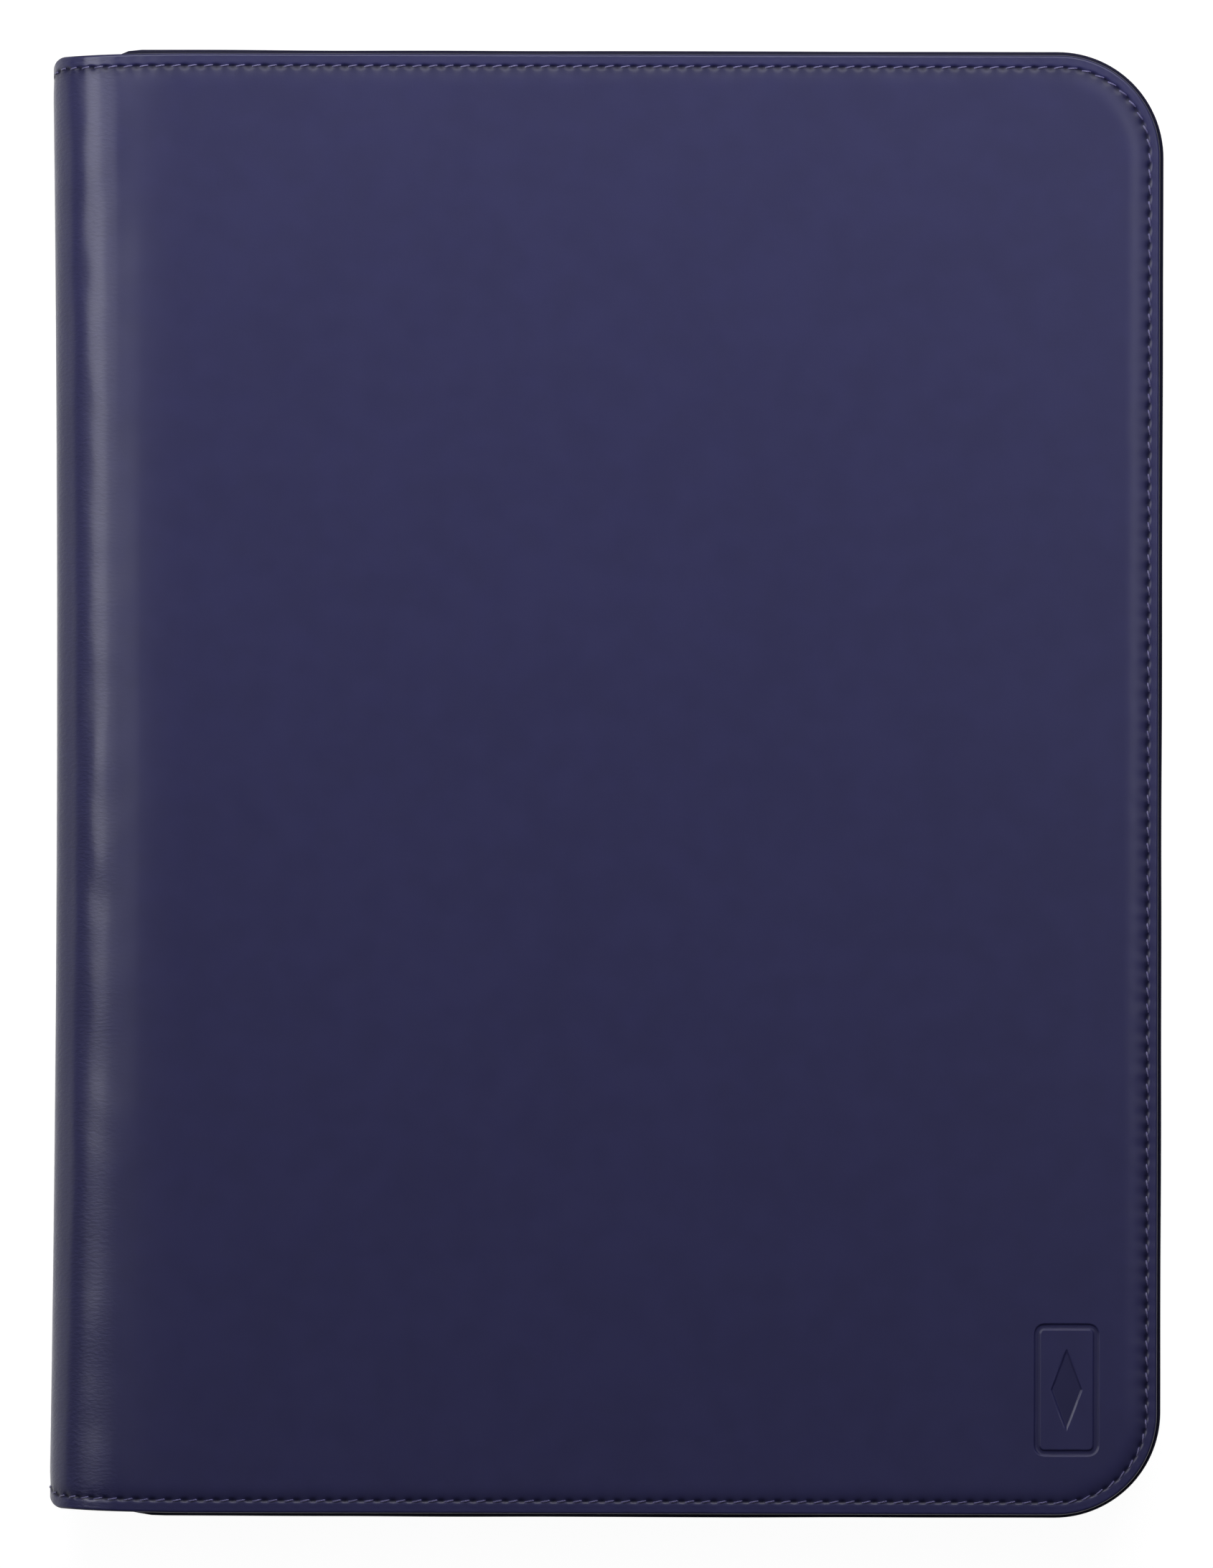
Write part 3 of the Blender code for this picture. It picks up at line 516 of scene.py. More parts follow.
class SpineSection:
    """The cover's section: a quarter ellipse from the spine's middle to the flat top, then straight."""

    def __init__(self):
        angle = np.linspace(0, math.pi / 2, ROLL_SAMPLES)
        x = LEFT + ROLL_DEPTH * (1 - np.cos(angle))
        z = MIDDLE + MIDDLE * np.sin(angle)
        steps = np.hypot(np.diff(x), np.diff(z))
        self.roll = float(steps.sum())
        self.edge = self.roll + EDGE_X - (LEFT + ROLL_DEPTH)
        self.s = np.append(np.concatenate(([0], np.cumsum(steps))), self.edge + SPARE)
        self.x = np.append(x, EDGE_X + SPARE)
        self.z = np.append(z, TOP)
        nx = np.append(-np.cos(angle) * MIDDLE, 0)
        nz = np.append(np.sin(angle) * ROLL_DEPTH, 1)
        size = np.hypot(nx, nz)
        self.nx = nx / size
        self.nz = nz / size

    def s_at(self, x):
        return np.interp(x, self.x, self.s)

    def place(self, s, y, height):
        """Points of the case, in millimetres, height above the section at (s, y)."""
        x = np.interp(s, self.s, self.x) + height * np.interp(s, self.s, self.nx)
        z = np.interp(s, self.s, self.z) + height * np.interp(s, self.s, self.nz)
        pull = 1 - ease(s, 0, self.roll + SPINE_PULL_REACH)
        x = x + SPINE_PULL * (1 - (y / EDGE_Y) ** 2) * pull
        return np.column_stack((x, y, z))


SECTION = SpineSection()
CORNER_CENTRE = np.array((SECTION.edge - COVER_RADIUS, EDGE_Y - COVER_RADIUS))
MARK_SPOT = (float(SECTION.s_at(MARK_CENTRE[0])), MARK_CENTRE[1])


def edge_line(start, edge, spacing, arc_steps):
    """Points and outward normals along the free edges, from start at -Y round both corners to +Y."""
    corner_x = edge - COVER_RADIUS
    corner_y = EDGE_Y - COVER_RADIUS
    straight = np.linspace(start, corner_x, int((corner_x - start) / spacing) + 1)
    angle = np.linspace(-math.pi / 2, 0, arc_steps + 1)[1:-1]
    side = np.linspace(-corner_y, corner_y, int(2 * corner_y / spacing) + 1)
    bottom = np.column_stack((straight, -np.full_like(straight, EDGE_Y)))
    turn = np.column_stack((np.cos(angle), np.sin(angle)))
    lower = turn * COVER_RADIUS + (corner_x, -corner_y)
    right = np.column_stack((np.full_like(side, edge), side))
    down = np.tile((0.0, -1.0), (len(bottom), 1))
    out = np.tile((1.0, 0.0), (len(right), 1))
    halves = ((bottom, lower, right), (down, turn, out))
    points, normals = (
        np.concatenate((first, corner, across, (corner * (1, -1))[::-1], (first * (1, -1))[::-1]))
        for first, corner, across in halves
    )
    return points, normals


def spine_trim(s):
    """How far the sheet's two long ends draw in towards the spine's corners."""
    reach = np.clip(1 - (np.interp(s, SECTION.s, SECTION.x) - LEFT) / SPINE_CORNER, 0, 1)
    return SPINE_DROP * (1 - ease(s, 0, SPINE_DROP_REACH)) + SPINE_CORNER * (1 - np.sqrt(1 - reach ** 2))


EDGE_POINTS, EDGE_NORMALS = edge_line(0.0, SECTION.edge, EDGE_COLUMN, EDGE_TURN_STEPS)
TRIM = spine_trim(EDGE_POINTS[:, 0])[:, None]
EDGE_POINTS = EDGE_POINTS - EDGE_NORMALS * TRIM * np.abs(EDGE_NORMALS[:, 1:])
EDGE_LENGTH = np.concatenate(([0], np.cumsum(np.linalg.norm(np.diff(EDGE_POINTS, axis=0), axis=1))))


def cloud(points, size, seed):
    """Smooth noise, -1 to 1, at flat points, with features of about size millimetres in s and y."""
    scaled_points = points / np.asarray(size)
    return np.array([noise.noise(Vector((a, b, seed))) for a, b in scaled_points])


def frame_loop(offset):
    """Points along the mark's frame, offset outwards from its outer edge."""
    half_s, half_y = (size / 2 + offset for size in MARK_SIZE)
    radius = MARK_RADIUS + offset
    reaches = (half_s - radius, half_y - radius)
    across, along = (np.linspace(-reach, reach, FRAME_POINTS) for reach in reaches)
    corner = np.linspace(0, math.pi / 2, 10)[1:-1]
    turn = np.column_stack((np.cos(corner), np.sin(corner))) * radius + reaches
    side = np.column_stack((np.full_like(along, half_s), along))
    end = np.column_stack((across[::3], np.full_like(across[::3], half_y)))
    return np.concatenate((side, -side, end, -end, turn, -turn, turn * (1, -1), turn * (-1, 1)))


def lozenge_loop(scale):
    """Points along the mark's lozenge, scaled about its middle."""
    step = np.linspace(0, 1, 26)
    side = np.column_stack((step * LOZENGE[0], (1 - step) * LOZENGE[1])) * scale
    return np.concatenate((side, -side, side * (1, -1), side * (-1, 1)))


def mark_points():
    """Points along the edges of the debossed frame and lozenge."""
    steps = np.array(MARK_STEPS)
    offsets = np.concatenate((-steps, (-MARK_LINE / 2,), steps - MARK_LINE))
    loops = [frame_loop(offset) for offset in offsets]
    loops += [lozenge_loop(scale) for scale in LOZENGE_SCALES]
    return np.concatenate(loops) + MARK_SPOT


def past_rectangle(points, half_size):
    """Signed distance from the nearest side of a rectangle about the origin, given points with no signs."""
    q = points - half_size
    outside = np.hypot(np.clip(q[:, 0], 0, None), np.clip(q[:, 1], 0, None))
    return outside + np.clip(np.maximum(q[:, 0], q[:, 1]), None, 0)


def mark_share(points):
    """Where the leather is pressed in: 1 in a plain frame and a lozenge near the lower right corner."""
    p = np.abs(points - MARK_SPOT)
    distance = past_rectangle(p, np.array(MARK_SIZE) / 2 - MARK_RADIUS) - MARK_RADIUS
    ring = np.minimum(ease(-distance, 0, MARK_SLOPE), ease(distance, -MARK_LINE, MARK_SLOPE - MARK_LINE))
    lozenge = 1 - ease(p[:, 0] / LOZENGE[0] + p[:, 1] / LOZENGE[1], *LOZENGE_SLOPE)
    return np.maximum(ring, lozenge)


def soft_height(points, inset, side_seed):
    """The sheet's height over its section: a crown, slow waves, and the roll's sunk and swelling shape."""
    s, y = points.T
    crown = -(CROWN_ENDS + CROWN_SIDE * side_share(points)) * (1 - ease(inset, *CROWN_RAMP))
    past_roll = ease(s, *(SECTION.roll + end for end in SHOULDER_FADE))
    shoulder = -SHOULDER * ease(s, *SHOULDER_RAMP) * (1 - past_roll)
    waves = WAVE * cloud(points, WAVE_SIZE, side_seed)
    swell = hill(s, SECTION.roll * SWELL_PLACE, SWELL_REACH) * sum(
        height * cloud(points, size, side_seed + shift) for height, size, shift in SWELLS
    )
    small = cloud(points, RIPPLE_SIZE, side_seed + RIPPLE_SHIFT)
    ripple = RIPPLE * small * hill(inset, RIPPLE_INSET, RIPPLE_REACH)
    sunk = (1 - (y / EDGE_Y) ** 2) * ease(s, *BARREL_RAMP) * (1 - ease(s, *BARREL_FADE))
    return crown + shoulder + (waves + swell) * ease(s, *MEETING_RAMP) + ripple - BARREL * sunk


def side_share(points):
    """How far the nearest free edge faces +X: 0 along the two ends, 1 along the side opposite the spine."""
    q = np.column_stack((points[:, 0], np.abs(points[:, 1]))) - CORNER_CENTRE
    turned = np.clip(q, 0.001, None)
    return np.where(q[:, 0] < q[:, 1], np.where(q[:, 0] < 0, 0, 1), 1) * turned[:, 0] / np.hypot(*turned.T)


def inset_of(points):
    """Distance inwards from the nearest free edge."""
    folded = np.column_stack((points[:, 0], np.abs(points[:, 1])))
    return COVER_RADIUS - past_rectangle(folded, CORNER_CENTRE)


def sewing_inset(points):
    """How far inside the edge the sewing runs: a little further along the ends than along the side."""
    return STITCH_INSET_ENDS + (STITCH_INSET - STITCH_INSET_ENDS) * side_share(points)


def stitch_shape(inset, along, line):
    """The groove along the sewing line and its needle holes, each 0 to 1, steeper on the outer side."""
    near_hole = 0.5 + 0.5 * np.cos(2 * math.pi * along / STITCH_PITCH)
    past = inset - line
    groove = hill(past, 0, np.where(past < 0, *GROOVE_REACH))
    hole = near_hole ** 2 * hill(past, 0, np.where(past < 0, *HOLE_REACH))
    return near_hole, groove, hole


def stitch_depth(inset, along, line):
    """Groove along the sewing line, deeper at each needle hole, with puckers beside it."""
    near_hole, groove, hole = stitch_shape(inset, along, line)
    pucker = PUCKER * near_hole ** 2 * hill(inset - line, PUCKER_INSET, PUCKER_REACH)
    bead = BEAD * near_hole * hill(inset, BEAD_INSET, BEAD_REACH)
    return GROOVE_DEPTH * groove + HOLE_DEPTH * hole + pucker + bead


def edge_drop(inset):
    """How far the rounded edge falls away, where inset is less than its radius."""
    reach = np.clip(1 - inset / EDGE_ROUND, 0, 1)
    return EDGE_ROUND * (1 - np.sqrt(1 - reach ** 2))


def inner_points():
    """Points inside the stitched strip: close together on the roll and the mark, apart on the flat."""
    limit = EDGE_Y - STRIP_INSETS[0]
    rows = np.arange(-limit + GRID_MARGINS[0], limit - GRID_MARGINS[1], ROW_SPACING)
    roll = np.arange(ROLL_SPACING, SECTION.roll + ROLL_MARGIN, ROLL_SPACING)
    last = SECTION.edge - STRIP_INSETS[0] - GRID_MARGINS[1]
    flat = np.arange(SECTION.roll + FLAT_MARGIN, last, FLAT_SPACING)
    grid = np.array([(s, y) for s in np.concatenate((roll, flat)) for y in rows])
    clear = [size / 2 + MARK_CLEARANCE for size in MARK_SIZE]
    grid = grid[(np.abs(grid - MARK_SPOT) > clear).any(axis=1)]
    points = np.concatenate((grid, mark_points()))
    return points[inset_of(points) > STRIP_INSETS[0] + STRIP_CLEARANCE]


def stitched_strip(side_seed):
    """Flat points, heights and darkening (painted shade at the sewing, a darker tone at the edge), row by
    row, from inside the sewing to the turned-in edge.
    """
    count = len(EDGE_POINTS)
    line = sewing_inset(EDGE_POINTS)
    flat = [EDGE_POINTS - EDGE_NORMALS * inset for inset in STRIP_INSETS]
    height, dark_tone_and_painted_shade = [], []
    for points, inset in zip(flat, STRIP_INSETS):
        soft = soft_height(points, np.full(count, inset), side_seed)
        height.append(soft - stitch_depth(inset, EDGE_LENGTH, line) - edge_drop(inset))
        _, groove, hole = stitch_shape(inset, EDGE_LENGTH, line)
        # Painted shadow at the needle holes, painted shade with a darker tone along the groove, and a
        # darker cut edge
        shade = GROOVE_TONE_AND_PAINTED_SHADE * groove + HOLE_PAINTED_SHADOW * hole + EDGE_SHADE
        dark_tone_and_painted_shade.append(np.clip(shade - EDGE_SHADE * ease(inset, *EDGE_SHADE_RAMP), 0, 1))
    lowest = height[-1]
    for inset, drop in TURNED_ROWS:
        flat.append(EDGE_POINTS - EDGE_NORMALS * inset)
        height.append(np.minimum(lowest - TURN_DROP, drop))
        dark_tone_and_painted_shade.append(np.full(count, EDGE_SHADE))
    return flat, height, dark_tone_and_painted_shade


def leather_mesh(side_seed, with_mark):
    """Flat points, heights, darkening and faces of half the leather: its stitched strip and the rest."""
    flat, height, dark_tone_and_painted_shade = stitched_strip(side_seed)
    rows, count = len(flat), len(EDGE_POINTS)
    faces = [
        (r * count + c, (r + 1) * count + c, (r + 1) * count + c + 1, r * count + c + 1)
        for r in range(rows - 1)
        for c in range(count - 1)
    ]
    meeting = np.arange(flat[0][-1, 1] - MEETING_SPACING, flat[0][0, 1] + 2.0, -MEETING_SPACING)
    border = np.concatenate((flat[0], np.column_stack((np.zeros_like(meeting), meeting))))
    loose = [Vector(p) for p in np.concatenate((border, inner_points()))]
    spots, _, triangles, origins, _, _ = delaunay_2d_cdt(loose, [], [list(range(len(border)))], 1, 1e-5)
    number, extra = {}, []
    for i, origin in enumerate(origins):
        if origin and origin[0] < count:
            number[i] = origin[0]
        else:
            number[i] = rows * count + len(extra)
            extra.append(tuple(spots[i]))
    extra = np.array(extra)
    flat.append(extra)
    inner_height = soft_height(extra, inset_of(extra), side_seed)
    pressed = mark_share(extra) if with_mark else np.zeros(len(extra))
    height.append(inner_height - MARK_DEPTH * pressed)
    dark_tone_and_painted_shade.append(MARK_SHADE * pressed)
    faces += [tuple(number[i] for i in triangle) for triangle in triangles]
    return *(np.concatenate(part) for part in (flat, height, dark_tone_and_painted_shade)), faces


def turned_over(points):
    """The same points on the back cover."""
    return points * (1, 1, -1) + (0, 0, TOP)


def thicken(piece, thickness):
    """Gives a sheet its thickness, on its inner side."""
    wall = piece.modifiers.new("Wall", "SOLIDIFY")
    wall.thickness = thickness * MM
    wall.offset = -1
    plain_mesh(piece)
    piece.data.set_sharp_from_angle(angle=SHARP)


def follow_hinge(piece, side):
    """Bakes a piece's placement into its mesh, the same for both covers."""
    if side == "front":
        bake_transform(piece)
    else:
        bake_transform(piece)


def build_leather(side, side_seed):
    """Half of the outer leather: one cover's sheet and its share of the spine."""
    flat, height, dark_tone_and_painted_shade, faces = leather_mesh(side_seed, side == "front")
    points = SECTION.place(flat[:, 0], flat[:, 1], height)
    if side == "back":
        points = turned_over(points)
        faces = [face[::-1] for face in faces]
    piece = new_piece(f"{side}_leather", points, faces, "leather")
    piece.data.attributes.new("dark_tone_and_painted_shade", "FLOAT", "POINT").data.foreach_set("value", dark_tone_and_painted_shade)
    thicken(piece, LEATHER)
    follow_hinge(piece, side)
    if side == "front":
        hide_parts("front_cover_leather", "front_hinge_leather", "spine_leather")
    else:
        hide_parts("back_cover_leather", "back_hinge_leather")


def build_hinge_lining(side, side_seed):
    """The lining that carries on under the leather, from the cover's lining to the spine's."""
    columns = np.arange(HINGE_LINING_START, SECTION.roll - 1, 1.0)
    rows = np.linspace(-EDGE_Y + HINGE_LINING_INSET, EDGE_Y - HINGE_LINING_INSET, HINGE_LINING_ROWS)
    flat = np.array([(s, y) for s in columns for y in rows])
    height = soft_height(flat, inset_of(flat), side_seed) - LEATHER - HINGE_LINING_GAP
    count = len(rows)
    corners = [c * count + r for c in range(len(columns) - 1) for r in range(count - 1)]
    faces = [(i, i + count, i + count + 1, i + 1) for i in corners]
    points = SECTION.place(flat[:, 0], flat[:, 1], height)
    if side == "back":
        points = turned_over(points)
        faces = [face[::-1] for face in faces]
    piece = new_piece(f"{side}_hinge_lining", points, faces, "lining_fabric")
    thicken(piece, HINGE_LINING)
    follow_hinge(piece, side)


# Repeats, by Geometry Nodes

class Repeat:
    """A Geometry Nodes tree that sets one shape on every point, turned to the point's own directions."""

    def __init__(self, name, sizes):
        self.tree = bpy.data.node_groups.new(name, "GeometryNodeTree")
        self.tree.interface.new_socket("Geometry", in_out="INPUT", socket_type="NodeSocketGeometry")
        for size in sizes:
            self.tree.interface.new_socket(size, in_out="INPUT", socket_type="NodeSocketFloat")
        self.tree.interface.new_socket("Geometry", in_out="OUTPUT", socket_type="NodeSocketGeometry")
        self.inputs = self.tree.nodes.new("NodeGroupInput")

    def node(self, kind, settings, sockets, output=0):
        made = self.tree.nodes.new(kind)
        for name, value in settings.items():
            setattr(made, name, value)
        for name, value in sockets.items():
            if isinstance(value, bpy.types.NodeSocket):
                self.tree.links.new(value, made.inputs[name])
            elif value is not None:
                made.inputs[name].default_value = value
        return made.outputs[output]

    def point(self, x=None, y=None, z=None):
        return self.node("ShaderNodeCombineXYZ", {}, {0: x, 1: y, 2: z})

    def times(self, value, factor):
        return self.node("ShaderNodeMath", {"operation": "MULTIPLY"}, {0: value, 1: factor})

    def finish(self, shape, material):
        """Sets the shape on every point, with its X along the row and its Z up, as real geometry."""
        vector = {"data_type": "FLOAT_VECTOR"}
        along = self.node("GeometryNodeInputNamedAttribute", vector, {"Name": "along"})
        up = self.node("GeometryNodeInputNamedAttribute", vector, {"Name": "up"})
        turn = self.node("FunctionNodeAlignRotationToVector", {"axis": "X"}, {"Vector": along})
        facing = {"Rotation": turn, "Vector": up}
        turn = self.node("FunctionNodeAlignRotationToVector", {"axis": "Z", "pivot_axis": "X"}, facing)
        sockets = {"Points": self.inputs.outputs[0], "Instance": shape, "Rotation": turn}
        spread = self.node("GeometryNodeInstanceOnPoints", {}, sockets)
        real = self.node("GeometryNodeRealizeInstances", {}, {"Geometry": spread})
        painted = self.node("GeometryNodeSetMaterial", {}, {"Geometry": real, "Material": material})
        smooth = self.node("GeometryNodeSetShadeSmooth", {}, {"Geometry": painted})
        last = self.tree.nodes.new("NodeGroupOutput")
        self.tree.links.new(smooth, last.inputs[0])


def arch_tree(name, material, across):
    """A short thick arch: a thread stitch along the row, or a zip tooth that bridges across it."""
    repeat = Repeat(name, ("Length", "Thickness", "Rise", "Lean"))
    length, thickness, rise, lean = repeat.inputs.outputs[1:5]
    half = repeat.times(length, 0.5)
    back = repeat.times(length, -0.5)
    lean_back = repeat.times(lean, -1.0)
    if across:
        ends = repeat.point(lean_back, back), repeat.point(lean, half)
    else:
        ends = repeat.point(back, lean_back), repeat.point(half, lean)
    arch = {"Resolution": 6, "Start": ends[0], "Middle": repeat.point(z=rise), "End": ends[1]}
    curve = repeat.node("GeometryNodeCurveQuadraticBezier", {}, arch)
    radius = repeat.times(thickness, 0.5)
    ring = repeat.node("GeometryNodeCurvePrimitiveCircle", {}, {"Resolution": 7, "Radius": radius})
    sweep = {"Curve": curve, "Profile Curve": ring, "Fill Caps": True}
    tube = repeat.node("GeometryNodeCurveToMesh", {}, sweep)
    repeat.finish(tube, material)
    return repeat.tree


def repeated(name, tree, points, along, up, sizes, slot, finish):
    """Runs the tree on points in millimetres and keeps the result as a plain mesh."""
    mesh = bpy.data.meshes.new(name)
    mesh.from_pydata((np.asarray(points) * MM).tolist(), [], [])
    for label, vectors in (("along", along), ("up", up)):
        attribute = mesh.attributes.new(label, "FLOAT_VECTOR", "POINT")
        attribute.data.foreach_set("vector", np.asarray(vectors, float).ravel())
    piece = bpy.data.objects.new(name, mesh)
    bpy.context.scene.collection.objects.link(piece)
    modifier = piece.modifiers.new("Repeat", "NODES")
    modifier.node_group = tree
    names = {item.name: item.identifier for item in tree.interface.items_tree if item.in_out == "INPUT"}
    for label, value in sizes.items():
        modifier[names[label]] = value * MM
    plain_mesh(piece)
    return dress(piece, slot, finish)


STITCH_TREE = arch_tree("thread_stitch", FINISHES["thread"], False)
TOOTH_TREE = arch_tree("zip_tooth", FINISHES["zip_teeth"], True)


def build_stitches(side, side_seed):
    """The row of topstitching in the leather's groove."""
    along = np.arange(0.5, EDGE_LENGTH[-1] / STITCH_PITCH - 0.5) * STITCH_PITCH
    sample = [np.interp(along, EDGE_LENGTH, column) for column in (*EDGE_POINTS.T, *EDGE_NORMALS.T)]
    points = np.column_stack(sample[:2])
    normals = np.column_stack(sample[2:])
    inset = sewing_inset(points)
    flat = points - normals * inset[:, None]
    height = soft_height(flat, inset, side_seed) - STITCH_SINK
    place = SECTION.place(flat[:, 0], flat[:, 1], height)
    step = np.column_stack((-normals[:, 1], normals[:, 0])) * 0.5
    ahead = SECTION.place(flat[:, 0] + step[:, 0], flat[:, 1] + step[:, 1], height)
    behind = SECTION.place(flat[:, 0] - step[:, 0], flat[:, 1] - step[:, 1], height)
    up = SECTION.place(flat[:, 0], flat[:, 1], height + 1) - place
    direction = ahead - behind
    if side == "back":
        place, up, direction = turned_over(place), up * (1, 1, -1), direction * (1, 1, -1)
    sizes = {"Length": STITCH_LENGTH, "Thickness": THREAD, "Rise": STITCH_RISE, "Lean": STITCH_LEAN}
    piece = repeated(f"{side}_topstitching", STITCH_TREE, place, direction, up, sizes, "leather", "thread")
    follow_hinge(piece, side)


# Pieces that run round the three free edges

def rounded_profile(offset, z, radius):
    """A closed rounded rectangle of (offset, z) points, with four steps to a corner."""
    corners = (
        (offset[1] - radius, z[0] + radius, -90),
        (offset[1] - radius, z[1] - radius, 0),
        (offset[0] + radius, z[1] - radius, 90),
        (offset[0] + radius, z[0] + radius, 180),
    )
    turns = [(cx, cz, math.radians(start + 90 * i / 4)) for cx, cz, start in corners for i in range(5)]
    return np.array([(cx + radius * math.cos(a), cz + radius * math.sin(a)) for cx, cz, a in turns])


def rim_sweep(node, body, slot, offset, z, radius, start_x, tapers, wave):
    """A strip of rounded section along the free edges, thinned towards both ends where it has tapers."""
    profile = rounded_profile(offset, z, radius)
    points, normals = edge_line(start_x, EDGE_X, RIM_SPACING, RIM_TURN_STEPS)
    count = len(profile)
    body_points = []
    for (x, y), (nx, ny) in zip(points, normals):
        swell = 1.0
        if tapers:
            length = tapers[0] if y < 0 else tapers[1]
            swell = BAND_TIP + (1 - BAND_TIP) * float(ease(x, start_x, start_x + length))
        shift = wave * noise.noise(Vector((x / BAND_WAVE_LENGTH, y / BAND_WAVE_LENGTH, z[0])))
        for out, level in profile:
            reach = offset[0] + (out - offset[0]) * swell + shift * swell
            body_points.append((x + nx * reach, y + ny * reach, level))
    faces = [
        (c * count + i, (c + 1) * count + i, (c + 1) * count + (i + 1) % count, c * count + (i + 1) % count)
        for c in range(len(points) - 1)
        for i in range(count)
    ]
    last = (len(points) - 1) * count
    faces.append(tuple(range(count)))
    faces.append(tuple(last + i for i in reversed(range(count))))
    piece = new_piece(f"{node}_roll", body_points, faces, slot)
    outward_faces(piece)
    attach(piece, body)
    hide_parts(node)


def outward_faces(piece):
    """Turns every face of a closed piece outwards."""
    bm = bmesh.new()
    bm.from_mesh(piece.data)
    bmesh.ops.recalc_face_normals(bm, faces=bm.faces)
    bm.to_mesh(piece.data)
    bm.free()


def build_closure(side):
    """One cover's edge band, zip tape and teeth."""
    body = f"{side}_cover"
    for node, slot, width, radius, lead, tapers, wave in (
        ("edge_band", "edge_leather", BAND_WIDTH, BAND_ROUND, BAND_LEAD, BAND_TAPERS, BAND_WAVE),
        ("zip_tape", "zip_tape", TAPE_WIDTH, TAPE_ROUND, 0, None, 0.0),
    ):
        name = f"{side}_{node}"
        low, high = (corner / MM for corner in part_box(name))
        outer = high.x - EDGE_X
        offset, z = (outer - width, outer), (low.z, high.z)
        rim_sweep(name, body, slot, offset, z, radius, low.x - lead, tapers, wave)
    build_teeth(side, body)


def build_teeth(side, body):
    """The coil's ribs on one cover, half a pitch out of step with the other cover's."""
    name = f"{side}_zip_teeth"
    low, high = (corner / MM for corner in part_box(name))
    outer = high.x - EDGE_X
    points, normals = edge_line(low.x, EDGE_X, 1.0, RIM_TURN_STEPS)
    middle = points + normals * (outer - TEETH_WIDTH / 2)
    length = np.concatenate(([0], np.cumsum(np.linalg.norm(np.diff(middle, axis=0), axis=1))))
    phase = 0.5 if side == "front" else 1.0
    along = np.arange(phase * TEETH_PITCH, length[-1], TEETH_PITCH)
    place = np.column_stack([np.interp(along, length, column) for column in middle.T])
    out = np.column_stack([np.interp(along, length, column) for column in normals.T])
    direction = np.column_stack((-out[:, 1], out[:, 0], np.zeros(len(out))))
    rising, base = (1.0, low.z) if side == "back" else (-1.0, high.z)
    place = np.column_stack((place, np.full(len(place), base)))
    up = np.tile((0.0, 0.0, rising), (len(place), 1))
    rise = 2 * (high.z - low.z) - TOOTH_SINK
    width = TEETH_WIDTH - TOOTH_MARGIN
    sizes = {"Length": width, "Thickness": TOOTH_THICKNESS, "Rise": rise, "Lean": TOOTH_LEAN}
    piece = repeated(f"{name}_coil", TOOTH_TREE, place, direction, up, sizes, "zip_teeth", "zip_teeth")
    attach(piece, body)
    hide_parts(name)


# Hard pieces: the frame's own shapes with eased edges

def body_with(node):
    groups = frame["record"]["behaviour"]["bodies"]
    return next(body for body, members in groups.items() if node in members)


def slot_of(node):
    return next(part["material_slot"] for part in frame["record"]["subparts"] if part["node"] == node)


def eased(node, width):
    """A copy of a frame piece with its edges rounded to width millimetres."""
    piece = bpy.data.objects.new(f"{node}_shape", frame["nodes"][node].data.copy())
    bpy.context.scene.collection.objects.link(piece)
    bm = bmesh.new()
    bm.from_mesh(piece.data)
    bmesh.ops.remove_doubles(bm, verts=bm.verts, dist=WELD)
    bmesh.ops.dissolve_limit(bm, angle_limit=math.radians(1), verts=bm.verts, edges=bm.edges)
    bm.to_mesh(piece.data)
    bm.free()
    piece.data.shade_smooth()
    bevel = piece.modifiers.new("Eased edges", "BEVEL")
    bevel.width = width * MM
    bevel.segments = 3
    bevel.harden_normals = True
    bevel.limit_method = "ANGLE"
    bevel.angle_limit = math.radians(30)
    plain_mesh(piece)
    dress(piece, slot_of(node))
    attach(piece, body_with(node))
    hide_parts(node)
    return piece


# How far each piece's edges are rounded
EASED = {
    "zip_slider": 0.2, "zip_puller": 0.25, "zip_open_stop": 0.25, "zip_closed_stop": 0.25,
    "tablet_tray": 0.4, "tray_liner": 0.1, "corner_clip_1": 0.3, "corner_clip_2": 0.3,
    "corner_clip_3": 0.3, "corner_clip_4": 0.3, "tray_hinge_barrel": 0.15, "hinge_block_left": 0.2,
    "hinge_block_right": 0.2, "stand_leg": 0.2, "stand_foot": 0.3, "tray_hinge_pin": 0.1, "leg_pin": 0.1,
    "keyboard_shell": 0.35, "key_plate": 0.2, "key_mat": 0.25, "power_switch": 0.3, "pairing_button": 0.3,
    "status_light": 0.1, "charge_port": 0.15, "keyboard_battery": 0.4, "keyboard_circuit": 0.1,
    "card_pocket_left": 0.25, "card_pocket_right": 0.25, "grip_pad_left": 0.2, "grip_pad_right": 0.2,
    "pen_loop": 0.3, "puller_pin": 0.05, "spine_lining": 0.2, "spine_board": 0.2,
    "front_cover_lining": 0.3, "back_cover_lining": 0.3, "front_cover_board": 0.3, "back_cover_board": 0.3,
}


def build_hard_pieces():
    for node, width in EASED.items():
        eased(node, width)
    for node in ("front_cover_padding", "back_cover_padding"):
        eased(node, 0.4)
    eased("key_membrane", 0.05)


# Inside the case: what the keys say, and the pockets' sewing

